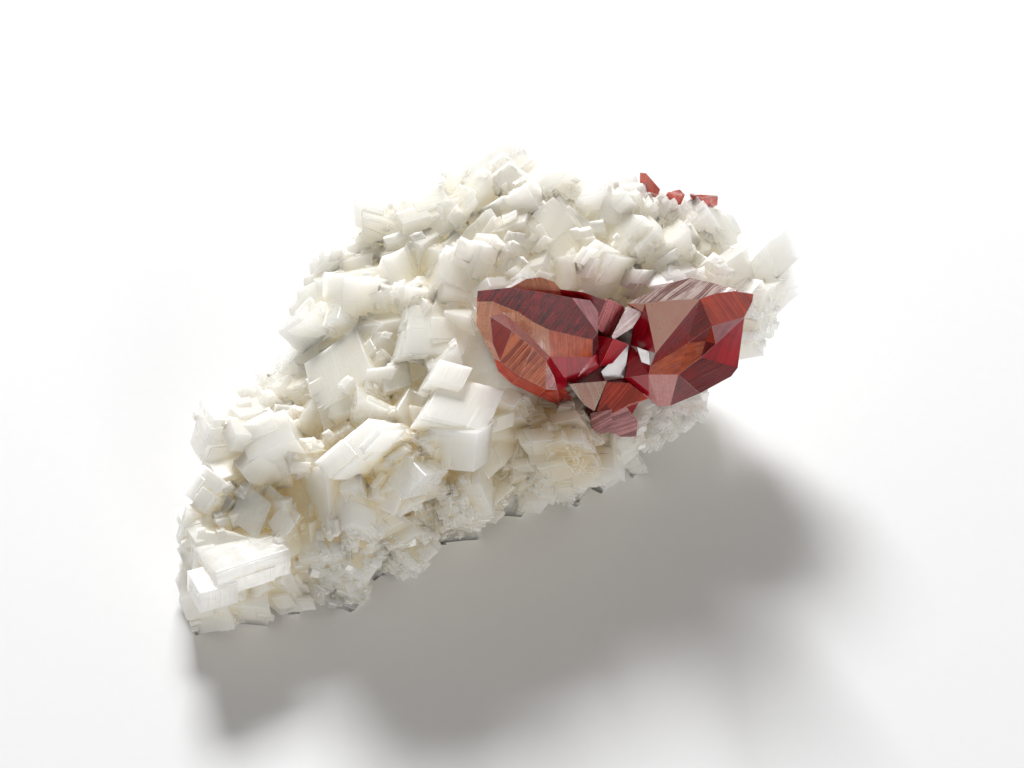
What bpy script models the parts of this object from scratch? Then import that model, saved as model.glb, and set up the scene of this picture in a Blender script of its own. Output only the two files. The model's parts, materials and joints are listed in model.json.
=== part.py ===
"""A cinnabar twin grown on a dolomite matrix: a hand specimen about 61 mm long.

The frame: origin at the middle of the box's base, +X along the specimen's length, +Y away from the side that
carries the cinnabar, +Z up. The matrix stands on a flat broken face at z = 0, and its right end hangs clear of
whatever it stands on. Lengths are written in millimetres and angles in degrees.
"""

import math
import random

import bmesh
import bpy
from mathutils import Euler, Matrix, Vector
from mathutils.bvhtree import BVHTree

MM = 0.001

# The middle of the specimen's box, in the coordinates that the lists below are written in
BOX_MIDDLE = (-1.3, 0.0, 0.0)

# A rhomb's three edges lean on each other at this angle, which is dolomite's
RHOMB_EDGE_ANGLE = 102.6

# The cinnabar stands in seats cut a little larger than itself; a corner moves out further than a face does
SEAT_GAP = 0.3
CORNER_REACH = 1.4

# The block that cuts the base flat: its width and its depth
BASE_CUT = (200.0, 20.0)

# Around the massive core, anticlockwise from the right end: the rim (x, y, z) and the foot (x, y, z) below it
CORE_STATIONS = (
    ((26.5, 8.5, 16.0), (23.5, 8.0, 11.0)),
    ((22.5, 13.0, 17.0), (20.0, 10.5, 8.5)),
    ((15.5, 15.5, 18.5), (14.5, 12.5, 3.0)),
    ((8.5, 17.0, 18.5), (8.0, 14.5, 0.0)),
    ((2.0, 20.0, 19.0), (2.0, 17.5, 0.0)),
    ((-5.0, 20.5, 17.5), (-4.5, 17.5, 0.0)),
    ((-12.5, 19.5, 15.0), (-11.0, 16.5, 0.0)),
    ((-17.5, 14.0, 12.0), (-15.5, 12.0, 0.0)),
    ((-20.5, 6.0, 11.0), (-18.0, 5.0, 0.0)),
    ((-23.5, -2.5, 9.0), (-21.0, -3.5, 0.0)),
    ((-27.5, -9.5, 7.0), (-25.0, -9.5, 0.0)),
    ((-28.5, -16.0, 5.0), (-26.5, -15.5, 0.0)),
    ((-23.5, -18.5, 5.5), (-23.5, -18.0, 0.0)),
    ((-16.0, -15.5, 7.5), (-17.0, -16.5, 0.0)),
    ((-9.5, -11.0, 10.5), (-10.0, -12.5, 0.0)),
    ((-3.5, -8.5, 12.0), (-4.0, -9.0, 0.0)),
    ((3.0, -6.0, 9.5), (3.0, -6.5, 0.0)),
    ((9.5, -5.0, 7.2), (8.0, -4.5, 0.0)),
    ((15.5, -1.2, 8.2), (13.5, -1.5, 3.5)),
    ((21.0, 2.5, 11.5), (18.5, 2.5, 7.5)),
)
FIRST_FLAT_STATION, LAST_FLAT_STATION = 3, 17
CROWN = (1.0, 6.0, 18.5)
SHOULDER_INWARD, SHOULDER_RISE = 0.4, 1.2
CROWN_INWARD = 0.75

# The rhombs that stand out: middle (x, y, z), edge length, flattening, and turns about X, Y and Z
LARGE_RHOMBS = (
    ((-28.3, -19.6, 2.6), 4.6, 1.0, (45, -45, -25)),
    ((-28.4, -15.6, 5.8), 4.4, 0.9, (33, -17, 7)),
    ((-13.2, 19.2, 15.0), 4.2, 0.9, (35, -20, 15)),
    ((-24.8, -3.6, 9.2), 4.2, 0.8, (20, -60, 35)),
    ((-4.9, -8.2, 16.3), 5.7, 0.5, (30, -31, -121)),
    ((-4.8, -11.2, 14.7), 4.7, 0.55, (154, -70, -46)),
    ((-27.4, -18.4, 5.2), 4.7, 0.9, (-21, 50, -158)),
    ((-22.6, -18.4, 3.3), 4.6, 0.8, (105, 5, -21)),
    ((-25.0, -20.0, 2.6), 4.2, 0.8, (-24, 58, -152)),
    ((-25.1, -18.2, 7.2), 6.7, 0.35, (17, -22, 16)),
    ((-17.3, -12.6, 9.0), 6.5, 0.5, (65, 50, -125)),
    ((-22.0, -9.3, 10.9), 5.3, 0.7, (39, 62, -87)),
    ((-26.7, -9.4, 8.3), 4.5, 0.6, (33, -17, 7)),
    ((-19.2, -10.4, 11.3), 2.6, 0.6, (47, -12, -4)),
    ((-14.6, -13.2, 8.5), 3.9, 0.7, (77, 33, -88)),
    ((-14.0, -15.2, 10.0), 3.9, 0.6, (46, 34, -21)),
    ((-12.7, -11.1, 13.9), 6.1, 0.5, (145, -11, 10)),
    ((-15.8, -2.2, 13.8), 6.2, 0.45, (20, -27, 101)),
    ((-15.4, 6.2, 15.2), 4.9, 0.9, (90, 26, -19)),
    ((-17.5, 5.8, 13.4), 5.6, 0.8, (32, 16, 157)),
    ((-16.2, 11.5, 12.4), 9.4, 0.4, (0, -37, 5)),
    ((-13.5, 16.6, 15.8), 4.5, 0.8, (119, 27, -30)),
    ((-11.3, 16.3, 16.8), 4.6, 0.6, (17, -11, 40)),
    ((-9.1, 15.0, 17.2), 5.4, 0.7, (10, 57, -111)),
    ((-5.5, 6.4, 18.8), 3.8, 0.6, (48, 0, -37)),
    ((-12.0, -13.7, 5.4), 4.0, 0.8, (140, 1, 4)),
    ((4.1, -6.0, 9.2), 5.0, 0.8, (137, 3, -21)),
    ((6.0, -6.2, 5.8), 5.2, 0.8, (130, 14, -17)),
    ((-18.0, -16.6, 5.2), 4.3, 0.8, (1, 64, -124)),
    ((-7.7, 1.0, 16.2), 5.8, 0.5, (27, -18, -107)),
    ((-9.9, -1.4, 13.8), 4.2, 0.6, (39, -23, -89)),
    ((-28.0, -12.0, 8.0), 3.4, 1.0, (60, -55, 10)),
    ((-27.0, -4.5, 9.0), 6.5, 0.6, (10, -15, 5)),
    ((-11.0, -11.0, 11.5), 5.4, 1.0, (20, -40, -40)),
    ((-9.5, -11.5, 10.5), 4.8, 0.9, (-15, -35, -70)),
    ((-4.0, -11.5, 8.5), 4.0, 0.9, (60, -55, -40)),
    ((-4.6, -10.8, 4.2), 3.8, 1.0, (20, -20, -95)),
    ((3.8, -7.0, 5.4), 4.4, 1.0, (45, -5, -10)),
    ((11.4, -3.4, 6.2), 3.6, 0.8, (75, -50, -115)),
    ((2.5, -6.4, 3.2), 3.8, 0.8, (0, -50, -25)),
    ((-0.8, -7.0, 4.4), 3.6, 1.0, (-5, -30, -50)),
    ((-18.8, 15.3, 12.6), 4.2, 1.0, (30, -35, -90)),
    ((-16.5, 7.5, 12.5), 5.0, 1.0, (0, -10, -90)),
    ((-20.5, 8.0, 11.5), 4.4, 1.0, (60, 10, -95)),
    ((-20.5, 2.5, 10.0), 4.6, 1.0, (10, 0, -30)),
    ((-22.5, -1.0, 9.5), 3.8, 1.0, (15, -5, -85)),
    ((-11.0, 16.5, 15.2), 5.0, 0.9, (0, 70, -85)),
    ((-6.0, 7.5, 17.5), 4.8, 0.7, (5, -65, 35)),
    ((-4.0, 17.5, 17.8), 5.2, 1.0, (80, -30, -90)),
    ((3.5, 11.0, 18.0), 6.6, 0.7, (-20, 35, 165)),
    ((11.0, 9.5, 19.3), 5.2, 0.8, (25, -60, 30)),
    ((9.0, 7.0, 18.2), 5.2, 0.8, (135, -30, 15)),
    ((15.0, 9.8, 18.8), 5.2, 0.7, (75, -35, -110)),
    ((15.5, 7.0, 17.5), 4.6, 0.8, (130, 10, -5)),
    ((12.4, 16.2, 19.4), 3.8, 0.9, (105, -15, -50)),
    ((6.5, 16.0, 19.2), 4.6, 0.9, (40, 10, 20)),
    ((3.0, 19.2, 19.6), 4.8, 0.8, (-25, 30, 60)),
    ((-1.0, 20.4, 19.2), 4.8, 1.0, (60, -35, 10)),
    ((-4.8, 20.0, 18.0), 4.4, 0.9, (20, 50, -40)),
    ((-8.5, 19.0, 16.4), 4.2, 0.9, (100, 20, 70)),
    ((18.5, 13.8, 18.0), 4.6, 0.9, (65, -60, -25)),
    ((21.0, 13.2, 17.6), 4.2, 0.9, (135, -45, -80)),
    ((24.6, 8.6, 16.0), 7.0, 0.5, (20, 35, -70)),
    ((24.0, 6.2, 14.0), 6.4, 0.6, (105, 40, 25)),
    ((17.6, -0.6, 8.8), 3.6, 0.9, (50, 25, 70)),
    ((22.6, 4.5, 11.6), 3.8, 0.9, (-35, 30, 15)),
    ((-16.0, -17.0, 3.2), 4.0, 0.9, (75, -20, 35)),
    ((-10.5, -14.2, 3.0), 4.0, 0.9, (-40, 15, -20)),
)

# Grown over what is left: how many, the edge's range, the closest spacing in edges, and how deep they sit
CRUST_SIZES = (
    (110, (3.8, 5.2), 0.80, 0.12),
    (190, (2.2, 3.4), 0.74, 0.02),
)
CRUST_SEED = 11
CRUST_TRIES = 60
SIDE_DROP_LIMIT = -0.35

# Nothing of the crust grows in the space before the cinnabar: least and greatest x, greatest y, least z
CINNABAR_ROOMS = ((-4.5, 21.5, 2.5, 9.0), (5.0, 16.0, 2.5, 6.2))

# The cinnabar's corners are measured along a line of sight that looks down on the specimen's front: each one is
# (across, up, towards the eye) from a point on that line
SIGHT_ELEVATION = 50
SIGHT_POINT = (0.0, 0.0, 10.0)

# The two wings of the twin, each with the root that it tapers to, its corners, and its facets by their corners.
# The last facet listed is the open edge, which the root closes.
LEFT_WING = {
    "root": (3.0, 3.5, -1.0),
    "corners": {
        "brow 0": (-3.1, 8.4, 11.2), "brow 1": (-3.2, 7.5, 10.3), "brow 2": (-0.2, 8.7, 11.1),
        "brow 3": (2.5, 8.4, 10.4), "brow 4": (5.5, 7.9, 9.6), "brow 5": (7.2, 7.7, 9.2),
        "brow 6": (8.0, 6.7, 8.2), "brow 7": (8.1, 4.8, 6.5), "brow 8": (7.6, 4.2, 6.0),
        "brow 9": (3.4, 5.1, 7.4), "brow 10": (2.1, 5.7, 8.0), "brow 11": (0.6, 6.6, 9.1),
        "brow 12": (-1.8, 7.5, 10.2),
        "ridge 1": (-2.0, 6.2, 9.3), "ridge 2": (0.0, 4.9, 8.9), "ridge 3": (1.9, 3.4, 8.3),
        "ridge 4": (3.2, 2.1, 7.4), "ridge 5": (4.0, 0.6, 6.4), "ridge 6": (4.3, -0.6, 5.6),
        "fold 1": (-0.9, 6.6, 8.8), "fold 2": (1.1, 5.1, 7.4), "fold 3": (3.6, 2.6, 5.8),
        "notch 1": (7.7, 2.6, 4.4), "notch 2": (8.4, 3.0, 4.0), "notch 3": (8.5, 1.6, 3.6),
        "notch 4": (5.6, -0.2, 3.8),
        "rim 0": (-3.3, 5.5, 8.6), "rim 1": (-2.6, 4.1, 7.8), "rim 2": (-1.7, 2.4, 6.9),
        "rim 3": (-1.3, 1.2, 6.3), "rim 4": (0.0, 0.0, 5.7), "rim 5": (2.5, -1.2, 5.1),
        "rim 6": (4.6, -2.1, 4.6), "rim 7": (5.8, -2.0, 4.0),
        "pane 1": (-1.8, 3.8, 8.0), "pane 2": (-1.1, 2.1, 7.5), "pane 3": (0.8, 0.7, 7.0),
        "pane 4": (3.2, -0.5, 6.3),
    },
    "facets": (
        "brow 0, brow 1, brow 12, brow 11, brow 10, brow 9, brow 8, brow 7, brow 4, brow 3, brow 2",
        "brow 4, brow 7, brow 6, brow 5",
        "brow 1, rim 0, ridge 1, brow 12",
        "brow 12, ridge 1, fold 1",
        "brow 12, fold 1, fold 2, fold 3, brow 9, brow 10, brow 11",
        "ridge 1, ridge 2, ridge 3, ridge 4, fold 3, fold 2, fold 1",
        "brow 9, fold 3, notch 1, brow 8",
        "brow 7, brow 8, notch 1, notch 2",
        "notch 1, notch 4, notch 3, notch 2",
        "fold 3, ridge 4, ridge 5, ridge 6, notch 4, notch 1",
        "ridge 1, pane 1, pane 2, ridge 2",
        "ridge 2, pane 2, pane 3, ridge 3",
        "ridge 3, pane 3, pane 4, ridge 4",
        "ridge 4, pane 4, ridge 6, ridge 5",
        "ridge 1, rim 0, rim 1, pane 1",
        "pane 1, rim 1, rim 2, pane 2",
        "pane 2, rim 2, rim 3, rim 4, pane 3",
        "pane 3, rim 4, rim 5, pane 4",
        "pane 4, rim 5, rim 6, ridge 6",
        "ridge 6, rim 6, rim 7, notch 4",
    ),
    "open edge": "brow 0, brow 2, brow 3, brow 4, brow 5, brow 6, brow 7, notch 2, notch 3, notch 4, rim 7, rim 6, "
    "rim 5, rim 4, rim 3, rim 2, rim 1, rim 0, brow 1",
}
RIGHT_WING = {
    "root": (15.5, 4.0, 0.0),
    "corners": {
        "brow 0": (12.4, 7.5, 7.8), "brow 1": (14.7, 7.7, 9.4), "brow 2": (17.0, 7.7, 10.9),
        "brow 3": (18.2, 8.1, 12.2), "brow 4": (19.7, 8.2, 13.2), "brow 5": (21.2, 7.9, 13.9),
        "brow 6": (21.2, 7.3, 13.5),
        "crest 0": (10.9, 7.6, 6.2), "crest 1": (12.0, 8.2, 7.0), "crest 2": (13.3, 8.7, 7.7),
        "crest 3": (14.8, 9.4, 8.2), "crest 4": (16.4, 9.8, 8.9), "crest 5": (18.0, 9.2, 10.8),
        "crest 6": (19.8, 8.4, 12.9),
        "rim 0": (20.8, 6.0, 12.0), "rim 1": (21.0, 1.5, 8.0), "rim 2": (20.5, 0.7, 7.4),
        "rim 3": (17.9, -0.9, 5.4), "rim 4": (15.3, -2.1, 3.8), "rim 5": (14.2, -2.2, 3.4),
        "rim 6": (13.3, -1.4, 3.4),
        "peak": (13.5, 2.9, 6.8),
        "fold 1": (18.3, 5.3, 9.6), "fold 2": (18.8, 3.7, 8.8), "fold 3": (18.1, 4.0, 7.4),
        "fold 4": (16.6, 3.9, 6.6), "fold 5": (13.2, 1.7, 5.4), "fold 6": (15.8, 0.9, 5.8),
        "fold 7": (13.1, 0.9, 4.8), "fold 8": (17.8, 2.5, 6.8),
        "flank 1": (10.9, 0.6, 4.0), "flank 2": (11.5, 3.8, 3.2), "flank 3": (11.6, 5.4, 4.6),
        "flank 4": (12.3, 6.8, 6.6),
    },
    "facets": (
        "brow 0, brow 1, brow 2, peak",
        "brow 2, brow 3, brow 4, brow 5, brow 6, rim 0, fold 1",
        "fold 1, rim 0, fold 2",
        "peak, brow 2, fold 1, fold 4",
        "fold 1, fold 3, fold 4",
        "fold 1, fold 2, fold 3",
        "peak, fold 4, fold 5",
        "fold 4, fold 3, fold 8",
        "fold 4, fold 8, fold 6",
        "fold 4, fold 6, fold 7, fold 5",
        "fold 2, rim 0, rim 1, fold 8",
        "fold 2, fold 8, fold 3",
        "fold 8, rim 1, rim 2, rim 3, fold 6",
        "fold 6, rim 3, rim 4",
        "fold 7, fold 6, rim 4, rim 5",
        "fold 7, rim 5, rim 6",
        "flank 4, brow 0, peak, flank 3",
        "flank 3, peak, flank 2",
        "peak, fold 5, flank 2",
        "fold 5, fold 7, flank 1, flank 2",
        "fold 7, rim 6, flank 1",
        "brow 0, crest 0, crest 1, crest 2, crest 3, crest 4, crest 5, crest 6, brow 4, brow 3, brow 2, brow 1",
        "flank 4, crest 0, brow 0",
        "brow 4, crest 6, brow 5",
    ),
    "open edge": "crest 0, crest 1, crest 2, crest 3, crest 4, crest 5, crest 6, brow 5, brow 6, rim 0, rim 1, "
    "rim 2, rim 3, rim 4, rim 5, rim 6, flank 1, flank 2, flank 3, flank 4",
}

# The smaller crystals of the twin, each by the corners of its front; each tapers away from the eye to its root
TAPER = 0.6
SMALL_CRYSTALS = {
    "left crest": (5.0, ((-0.2, 8.7, 10.6), (1.3, 9.6, 10.0), (2.6, 9.8, 9.6), (3.9, 9.4, 9.0), (4.6, 8.6, 8.8),
                         (4.4, 6.5, 7.0), (0.2, 6.8, 8.4))),
    "left shoulder": (5.0, ((4.4, 8.7, 9.3), (6.5, 8.5, 8.8), (8.8, 7.8, 7.6), (8.3, 6.5, 6.6), (7.4, 5.2, 5.6),
                            (5.0, 6.0, 6.8))),
    "notch crystal": (5.0, ((8.1, 8.0, 7.4), (9.4, 7.9, 7.0), (10.6, 7.3, 6.2), (10.7, 6.5, 5.6), (9.8, 4.5, 4.4),
                            (9.0, 4.6, 4.4), (8.0, 5.4, 5.4))),
    "notch step": (5.0, ((10.8, 7.3, 5.6), (12.4, 6.8, 5.8), (11.4, 5.3, 6.5), (9.6, 4.2, 6.9), (9.4, 4.5, 6.8))),
    "notch floor": (4.0, ((11.3, 3.9, 2.6), (10.9, 0.6, 4.2), (9.0, 0.3, 4.4), (8.6, 1.2, 4.0), (9.7, 2.1, 3.5))),
    "notch wedge": (5.0, ((8.2, 4.7, 4.6), (9.6, 4.3, 6.2), (11.2, 3.8, 5.0), (8.5, 1.7, 4.2), (9.7, 2.0, 4.0))),
    "foot left": (4.0, ((5.4, 0.0, 4.8), (9.1, 0.3, 4.8), (8.4, -1.3, 5.2), (7.9, -2.6, 4.8), (6.9, -2.0, 4.6))),
    "foot right": (4.0, ((9.1, 0.2, 4.8), (11.3, 0.1, 4.4), (13.2, -1.4, 4.0), (11.4, -1.9, 4.8), (9.7, -2.8, 4.8),
                         (8.1, -2.6, 4.8))),
    "toe left": (3.5, ((7.5, -2.8, 5.0), (7.7, -4.3, 4.6), (8.5, -4.8, 4.2), (9.6, -4.6, 4.2), (9.5, -2.4, 5.2))),
    "toe right": (3.5, ((10.8, -2.0, 4.8), (12.1, -3.6, 4.2), (12.0, -5.1, 3.4), (10.5, -5.1, 3.8),
                        (9.4, -4.6, 4.2), (9.4, -2.6, 5.2))),
    "heart": (5.0, ((4.0, 5.0, 2.5), (14.0, 5.0, 2.0), (12.8, -1.0, 2.8), (11.2, -4.0, 2.6), (8.4, -4.0, 2.8),
                    (6.0, -1.5, 3.2))),
}

# The small cinnabar crystals on the rear rim, each by its own corners (x, y, z)
REAR_CRYSTALS = {
    "rear_cinnabar_blade": (
        (13.0, 18.0, 22.2), (13.6, 17.4, 22.6), (14.9, 15.2, 22.3), (14.7, 14.8, 21.8), (13.0, 17.0, 20.8),
        (14.6, 15.8, 20.6), (14.0, 17.8, 21.0),
    ),
    "rear_cinnabar_left": (
        (15.0, 14.8, 21.0), (15.7, 15.3, 21.9), (17.0, 15.8, 21.8), (17.6, 15.6, 21.2), (15.4, 15.0, 20.0),
        (16.2, 16.8, 20.2), (17.2, 15.2, 20.2),
    ),
    "rear_cinnabar_right": (
        (17.9, 15.6, 21.4), (18.7, 14.6, 20.3), (19.2, 15.2, 21.2), (20.9, 15.5, 21.2), (20.9, 14.9, 20.4),
        (18.8, 16.6, 20.2), (20.2, 16.4, 19.8), (19.0, 14.8, 19.2),
    ),
}

CINNABAR_RED = (0.30, 0.012, 0.012, 1.0)
DOLOMITE_CREAM = (0.84, 0.81, 0.74, 1.0)


def clear_scene():
    for obj in list(bpy.data.objects):
        bpy.data.objects.remove(obj, do_unlink=True)


def placed(point):
    """A point of the lists above, in metres in the specimen's frame."""
    return (Vector(point) - Vector(BOX_MIDDLE)) * MM


def material(name, colour, roughness):
    made = bpy.data.materials.new(name)
    made.use_nodes = True
    shader = made.node_tree.nodes["Principled BSDF"]
    shader.inputs["Base Color"].default_value = colour
    shader.inputs["Roughness"].default_value = roughness
    shader.inputs["Metallic"].default_value = 0.0
    return made


def object_of(bm, name, finish=None, helper=False):
    mesh = bpy.data.meshes.new(name)
    bm.to_mesh(mesh)
    bm.free()
    if finish:
        mesh.materials.append(finish)
    obj = bpy.data.objects.new(name, mesh)
    bpy.context.scene.collection.objects.link(obj)
    if helper:
        obj.hide_render = True
        obj.display_type = "WIRE"
    return obj


def core_mesh():
    """The massive dolomite: a flat foot, a leaning side, a rim, a shoulder and a crown, joined ring by ring."""
    crown = placed(CROWN)
    rims = [placed(rim) for rim, foot in CORE_STATIONS]
    feet = [placed(foot) for rim, foot in CORE_STATIONS]
    shoulders = [rim.lerp(crown, SHOULDER_INWARD) + Vector((0, 0, SHOULDER_RISE * MM)) for rim in rims]
    crowns = [rim.lerp(crown, CROWN_INWARD) + Vector((0, 0, SHOULDER_RISE * MM)) for rim in rims]
    bm = bmesh.new()
    rings = [[bm.verts.new(point) for point in ring] for ring in (feet, rims, shoulders, crowns)]
    count = len(CORE_STATIONS)
    for lower, upper in zip(rings, rings[1:]):
        for i in range(count):
            j = (i + 1) % count
            bm.faces.new((lower[i], lower[j], upper[j], upper[i]))
    foot_ring = rings[0]
    flat = foot_ring[FIRST_FLAT_STATION : LAST_FLAT_STATION + 1]
    raised = foot_ring[LAST_FLAT_STATION:] + foot_ring[: FIRST_FLAT_STATION + 1]
    bm.faces.new(flat)
    bm.faces.new(raised)
    bm.faces.new(rings[-1])
    bmesh.ops.triangulate(bm, faces=[face for face in bm.faces if len(face.verts) > 3])
    bmesh.ops.recalc_face_normals(bm, faces=bm.faces)
    return bm


def rhomb_edges():
    """Three unit vectors that lean on each other at the rhomb's angle, evenly round Z."""
    cosine = math.cos(math.radians(RHOMB_EDGE_ANGLE))
    rise = math.sqrt((2 * cosine + 1) / 3)
    spread = math.sqrt(1 - rise * rise)
    turns = [math.tau * k / 3 for k in range(3)]
    return [Vector((spread * math.cos(t), spread * math.sin(t), -rise)) for t in turns]


def add_rhomb(bm, middle, edge, flattening, rotation):
    """A rhomb about a middle in metres, its edges in millimetres; flattening shortens the third edge."""
    a, b, c = rhomb_edges()
    columns = (a * edge * MM, b * edge * MM, c * edge * flattening * MM)
    shape = Matrix(columns).transposed()
    matrix = Matrix.Translation(middle) @ (rotation.to_matrix() @ shape).to_4x4()
    made = bmesh.ops.create_cube(bm, size=1.0, matrix=matrix)
    if shape.determinant() < 0:
        faces = {face for vert in made["verts"] for face in vert.link_faces}
        bmesh.ops.reverse_faces(bm, faces=list(faces))


def turned(angles):
    return Euler([math.radians(angle) for angle in angles])


def in_cinnabar_room(point):
    """True where a crystal would stand between the cinnabar and someone who looks at it."""
    x, y, z = point / MM + Vector(BOX_MIDDLE)
    return any(
        least_x < x < greatest_x and y < greatest_y and z > least_z
        for least_x, greatest_x, greatest_y, least_z in CINNABAR_ROOMS
    )


def crust_spots(core):
    """Where the crust's rhombs grow: (middle, edge, flattening, rotation), the same at each run."""
    rng = random.Random(CRUST_SEED)
    tree = BVHTree.FromBMesh(core)
    faces = [face for face in core.faces if face.normal.z > SIDE_DROP_LIMIT]
    areas = [face.calc_area() for face in faces]
    taken = [(placed(middle), edge * MM) for middle, edge, flattening, angles in LARGE_RHOMBS]
    spots = []
    for count, (least, greatest), spacing, depth in CRUST_SIZES:
        for _ in range(count):
            edge = rng.uniform(least, greatest)
            flattening = rng.uniform(0.65, 1.0)
            rotation = Euler([rng.uniform(-math.pi, math.pi) for _ in range(3)])
            for _ in range(CRUST_TRIES):
                face = rng.choices(faces, areas)[0]
                weights = [rng.random() for _ in face.verts]
                total = sum(weights)
                mixed = [vert.co * (w / total) for vert, w in zip(face.verts, weights)]
                point = sum(mixed, Vector())
                near, normal, _, _ = tree.find_nearest(point)
                middle = near - normal * (depth * edge * MM)
                clear = all(
                    (middle - other).length > spacing * (edge * MM + other_edge) / 2
                    for other, other_edge in taken
                )
                if clear and not in_cinnabar_room(middle):
                    taken.append((middle, edge * MM))
                    spots.append((middle, edge, flattening, rotation))
                    break
    return spots


def sighted(corner):
    """A corner measured along the line of sight, as a point of the lists above."""
    across, up, towards = corner
    tilt = math.radians(SIGHT_ELEVATION)
    rise = Vector((0.0, math.sin(tilt), math.cos(tilt)))
    nearer = Vector((0.0, -math.cos(tilt), math.sin(tilt)))
    return Vector(SIGHT_POINT) + Vector((across, 0.0, 0.0)) + rise * up + nearer * towards


def grow(bm, distance):
    """Moves every corner of a solid outwards by a distance in millimetres."""
    bm.normal_update()
    moves = [(vert, vert.normal * distance * MM) for vert in bm.verts]
    for vert, move in moves:
        vert.co += move


def hull(points):
    """The flat-faced solid over these points."""
    bm = bmesh.new()
    for point in points:
        bm.verts.new(placed(point))
    made = bmesh.ops.convex_hull(bm, input=bm.verts)
    inside = {*made["geom_interior"], *made["geom_unused"]}
    bmesh.ops.delete(bm, geom=[part for part in inside if isinstance(part, bmesh.types.BMVert)], context="VERTS")
    bmesh.ops.recalc_face_normals(bm, faces=bm.faces)
    return bm


def small_crystal(depth, front):
    """A small crystal of the twin, from the corners of its front and its depth."""
    middle = sum((Vector(corner) for corner in front), Vector()) / len(front)
    root = [Vector(corner).lerp(middle, 1 - TAPER) - Vector((0.0, 0.0, depth)) for corner in front]
    return hull([sighted(corner) for corner in (*front, *root)])


def wing(shape):
    """One wing of the twin: its facets, and sides that run from its open edge to its root."""
    bm = bmesh.new()
    verts = {name: bm.verts.new(placed(sighted(corner))) for name, corner in shape["corners"].items()}
    for facet in shape["facets"]:
        bm.faces.new([verts[name] for name in facet.split(", ")])
    root = bm.verts.new(placed(sighted(shape["root"])))
    edge = [verts[name] for name in shape["open edge"].split(", ")]
    for one, other in zip(edge, edge[1:] + edge[:1]):
        bm.faces.new((one, other, root))
    bmesh.ops.recalc_face_normals(bm, faces=bm.faces)
    return bm


def twin_crystals():
    """Each crystal of the twin, as a solid of its own."""
    yield wing(LEFT_WING)
    yield wing(RIGHT_WING)
    for depth, front in SMALL_CRYSTALS.values():
        yield small_crystal(depth, front)


def rear_crystals():
    for corners in REAR_CRYSTALS.values():
        yield hull(corners)


def boolean(obj, other, operation):
    """Applies one Boolean to an object's mesh and removes the other object."""
    modifier = obj.modifiers.new(operation.lower(), "BOOLEAN")
    modifier.operation = operation
    modifier.object = other
    graph = bpy.context.evaluated_depsgraph_get()
    result = bpy.data.meshes.new_from_object(obj.evaluated_get(graph))
    obj.modifiers.clear()
    old = obj.data
    obj.data = result
    bpy.data.meshes.remove(old)
    bpy.data.objects.remove(other, do_unlink=True)


def keep_outer_body(obj):
    """Fills the small closed pockets that joined crystals leave between them, by removing their walls."""
    bm = bmesh.new()
    bm.from_mesh(obj.data)
    bodies = []
    left = set(bm.verts)
    while left:
        body = {left.pop()}
        front = set(body)
        while front:
            front = {edge.other_vert(vert) for vert in front for edge in vert.link_edges} - body
            body |= front
        left -= body
        bodies.append(body)
    outer = max(bodies, key=len)
    bmesh.ops.delete(bm, geom=[vert for vert in bm.verts if vert not in outer], context="VERTS")
    bm.to_mesh(obj.data)
    bm.free()


def make_cinnabar(finish):
    """The twinned cinnabar: all its crystals grown together in one solid."""
    shapes = twin_crystals()
    twin = object_of(next(shapes), "cinnabar_twin", finish)
    for shape in shapes:
        boolean(twin, object_of(shape, "helper", helper=True), "UNION")
    keep_outer_body(twin)


def make_rear_crystals(finish):
    for name, shape in zip(REAR_CRYSTALS, rear_crystals()):
        object_of(shape, name, finish)


def ground_mesh():
    """The block whose top is the base plane."""
    width, depth = (size * MM for size in BASE_CUT)
    bm = bmesh.new()
    bmesh.ops.create_cube(bm, size=1.0)
    bmesh.ops.scale(bm, vec=(width, width, depth), verts=bm.verts)
    bmesh.ops.translate(bm, vec=(0, 0, -depth / 2), verts=bm.verts)
    return bm


def make_matrix(finish):
    """The dolomite: its core and rhombs as one solid, cut flat at the base, with seats for the cinnabar."""
    core = core_mesh()
    spots = crust_spots(core)
    large = [(placed(middle), edge, flattening, turned(angles)) for middle, edge, flattening, angles in LARGE_RHOMBS]
    matrix = object_of(core, "dolomite_matrix", finish)
    for spot in large + spots:
        bm = bmesh.new()
        add_rhomb(bm, *spot)
        boolean(matrix, object_of(bm, "helper", helper=True), "UNION")
    for shape in (*twin_crystals(), *rear_crystals()):
        grow(shape, SEAT_GAP * CORNER_REACH)
        boolean(matrix, object_of(shape, "helper", helper=True), "DIFFERENCE")
    boolean(matrix, object_of(ground_mesh(), "helper", helper=True), "DIFFERENCE")
    keep_outer_body(matrix)


def main():
    clear_scene()
    dolomite = material("dolomite", DOLOMITE_CREAM, 0.4)
    cinnabar = material("cinnabar", CINNABAR_RED, 0.12)
    make_matrix(dolomite)
    make_cinnabar(cinnabar)
    make_rear_crystals(cinnabar)


main()
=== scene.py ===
"""The looks of a cinnabar twin on its dolomite matrix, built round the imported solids.

Laid out as a Blender add-on and run as a script. Lengths in the lists are millimetres, measured as in the
part's source, and angles are degrees.
"""

import json
import math
import random

import bmesh
import bpy
from bpy.props import FloatProperty, FloatVectorProperty, PointerProperty
from bpy.types import Operator, Panel, PropertyGroup
from mathutils import Euler, Matrix, Vector
from mathutils.bvhtree import BVHTree

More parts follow.
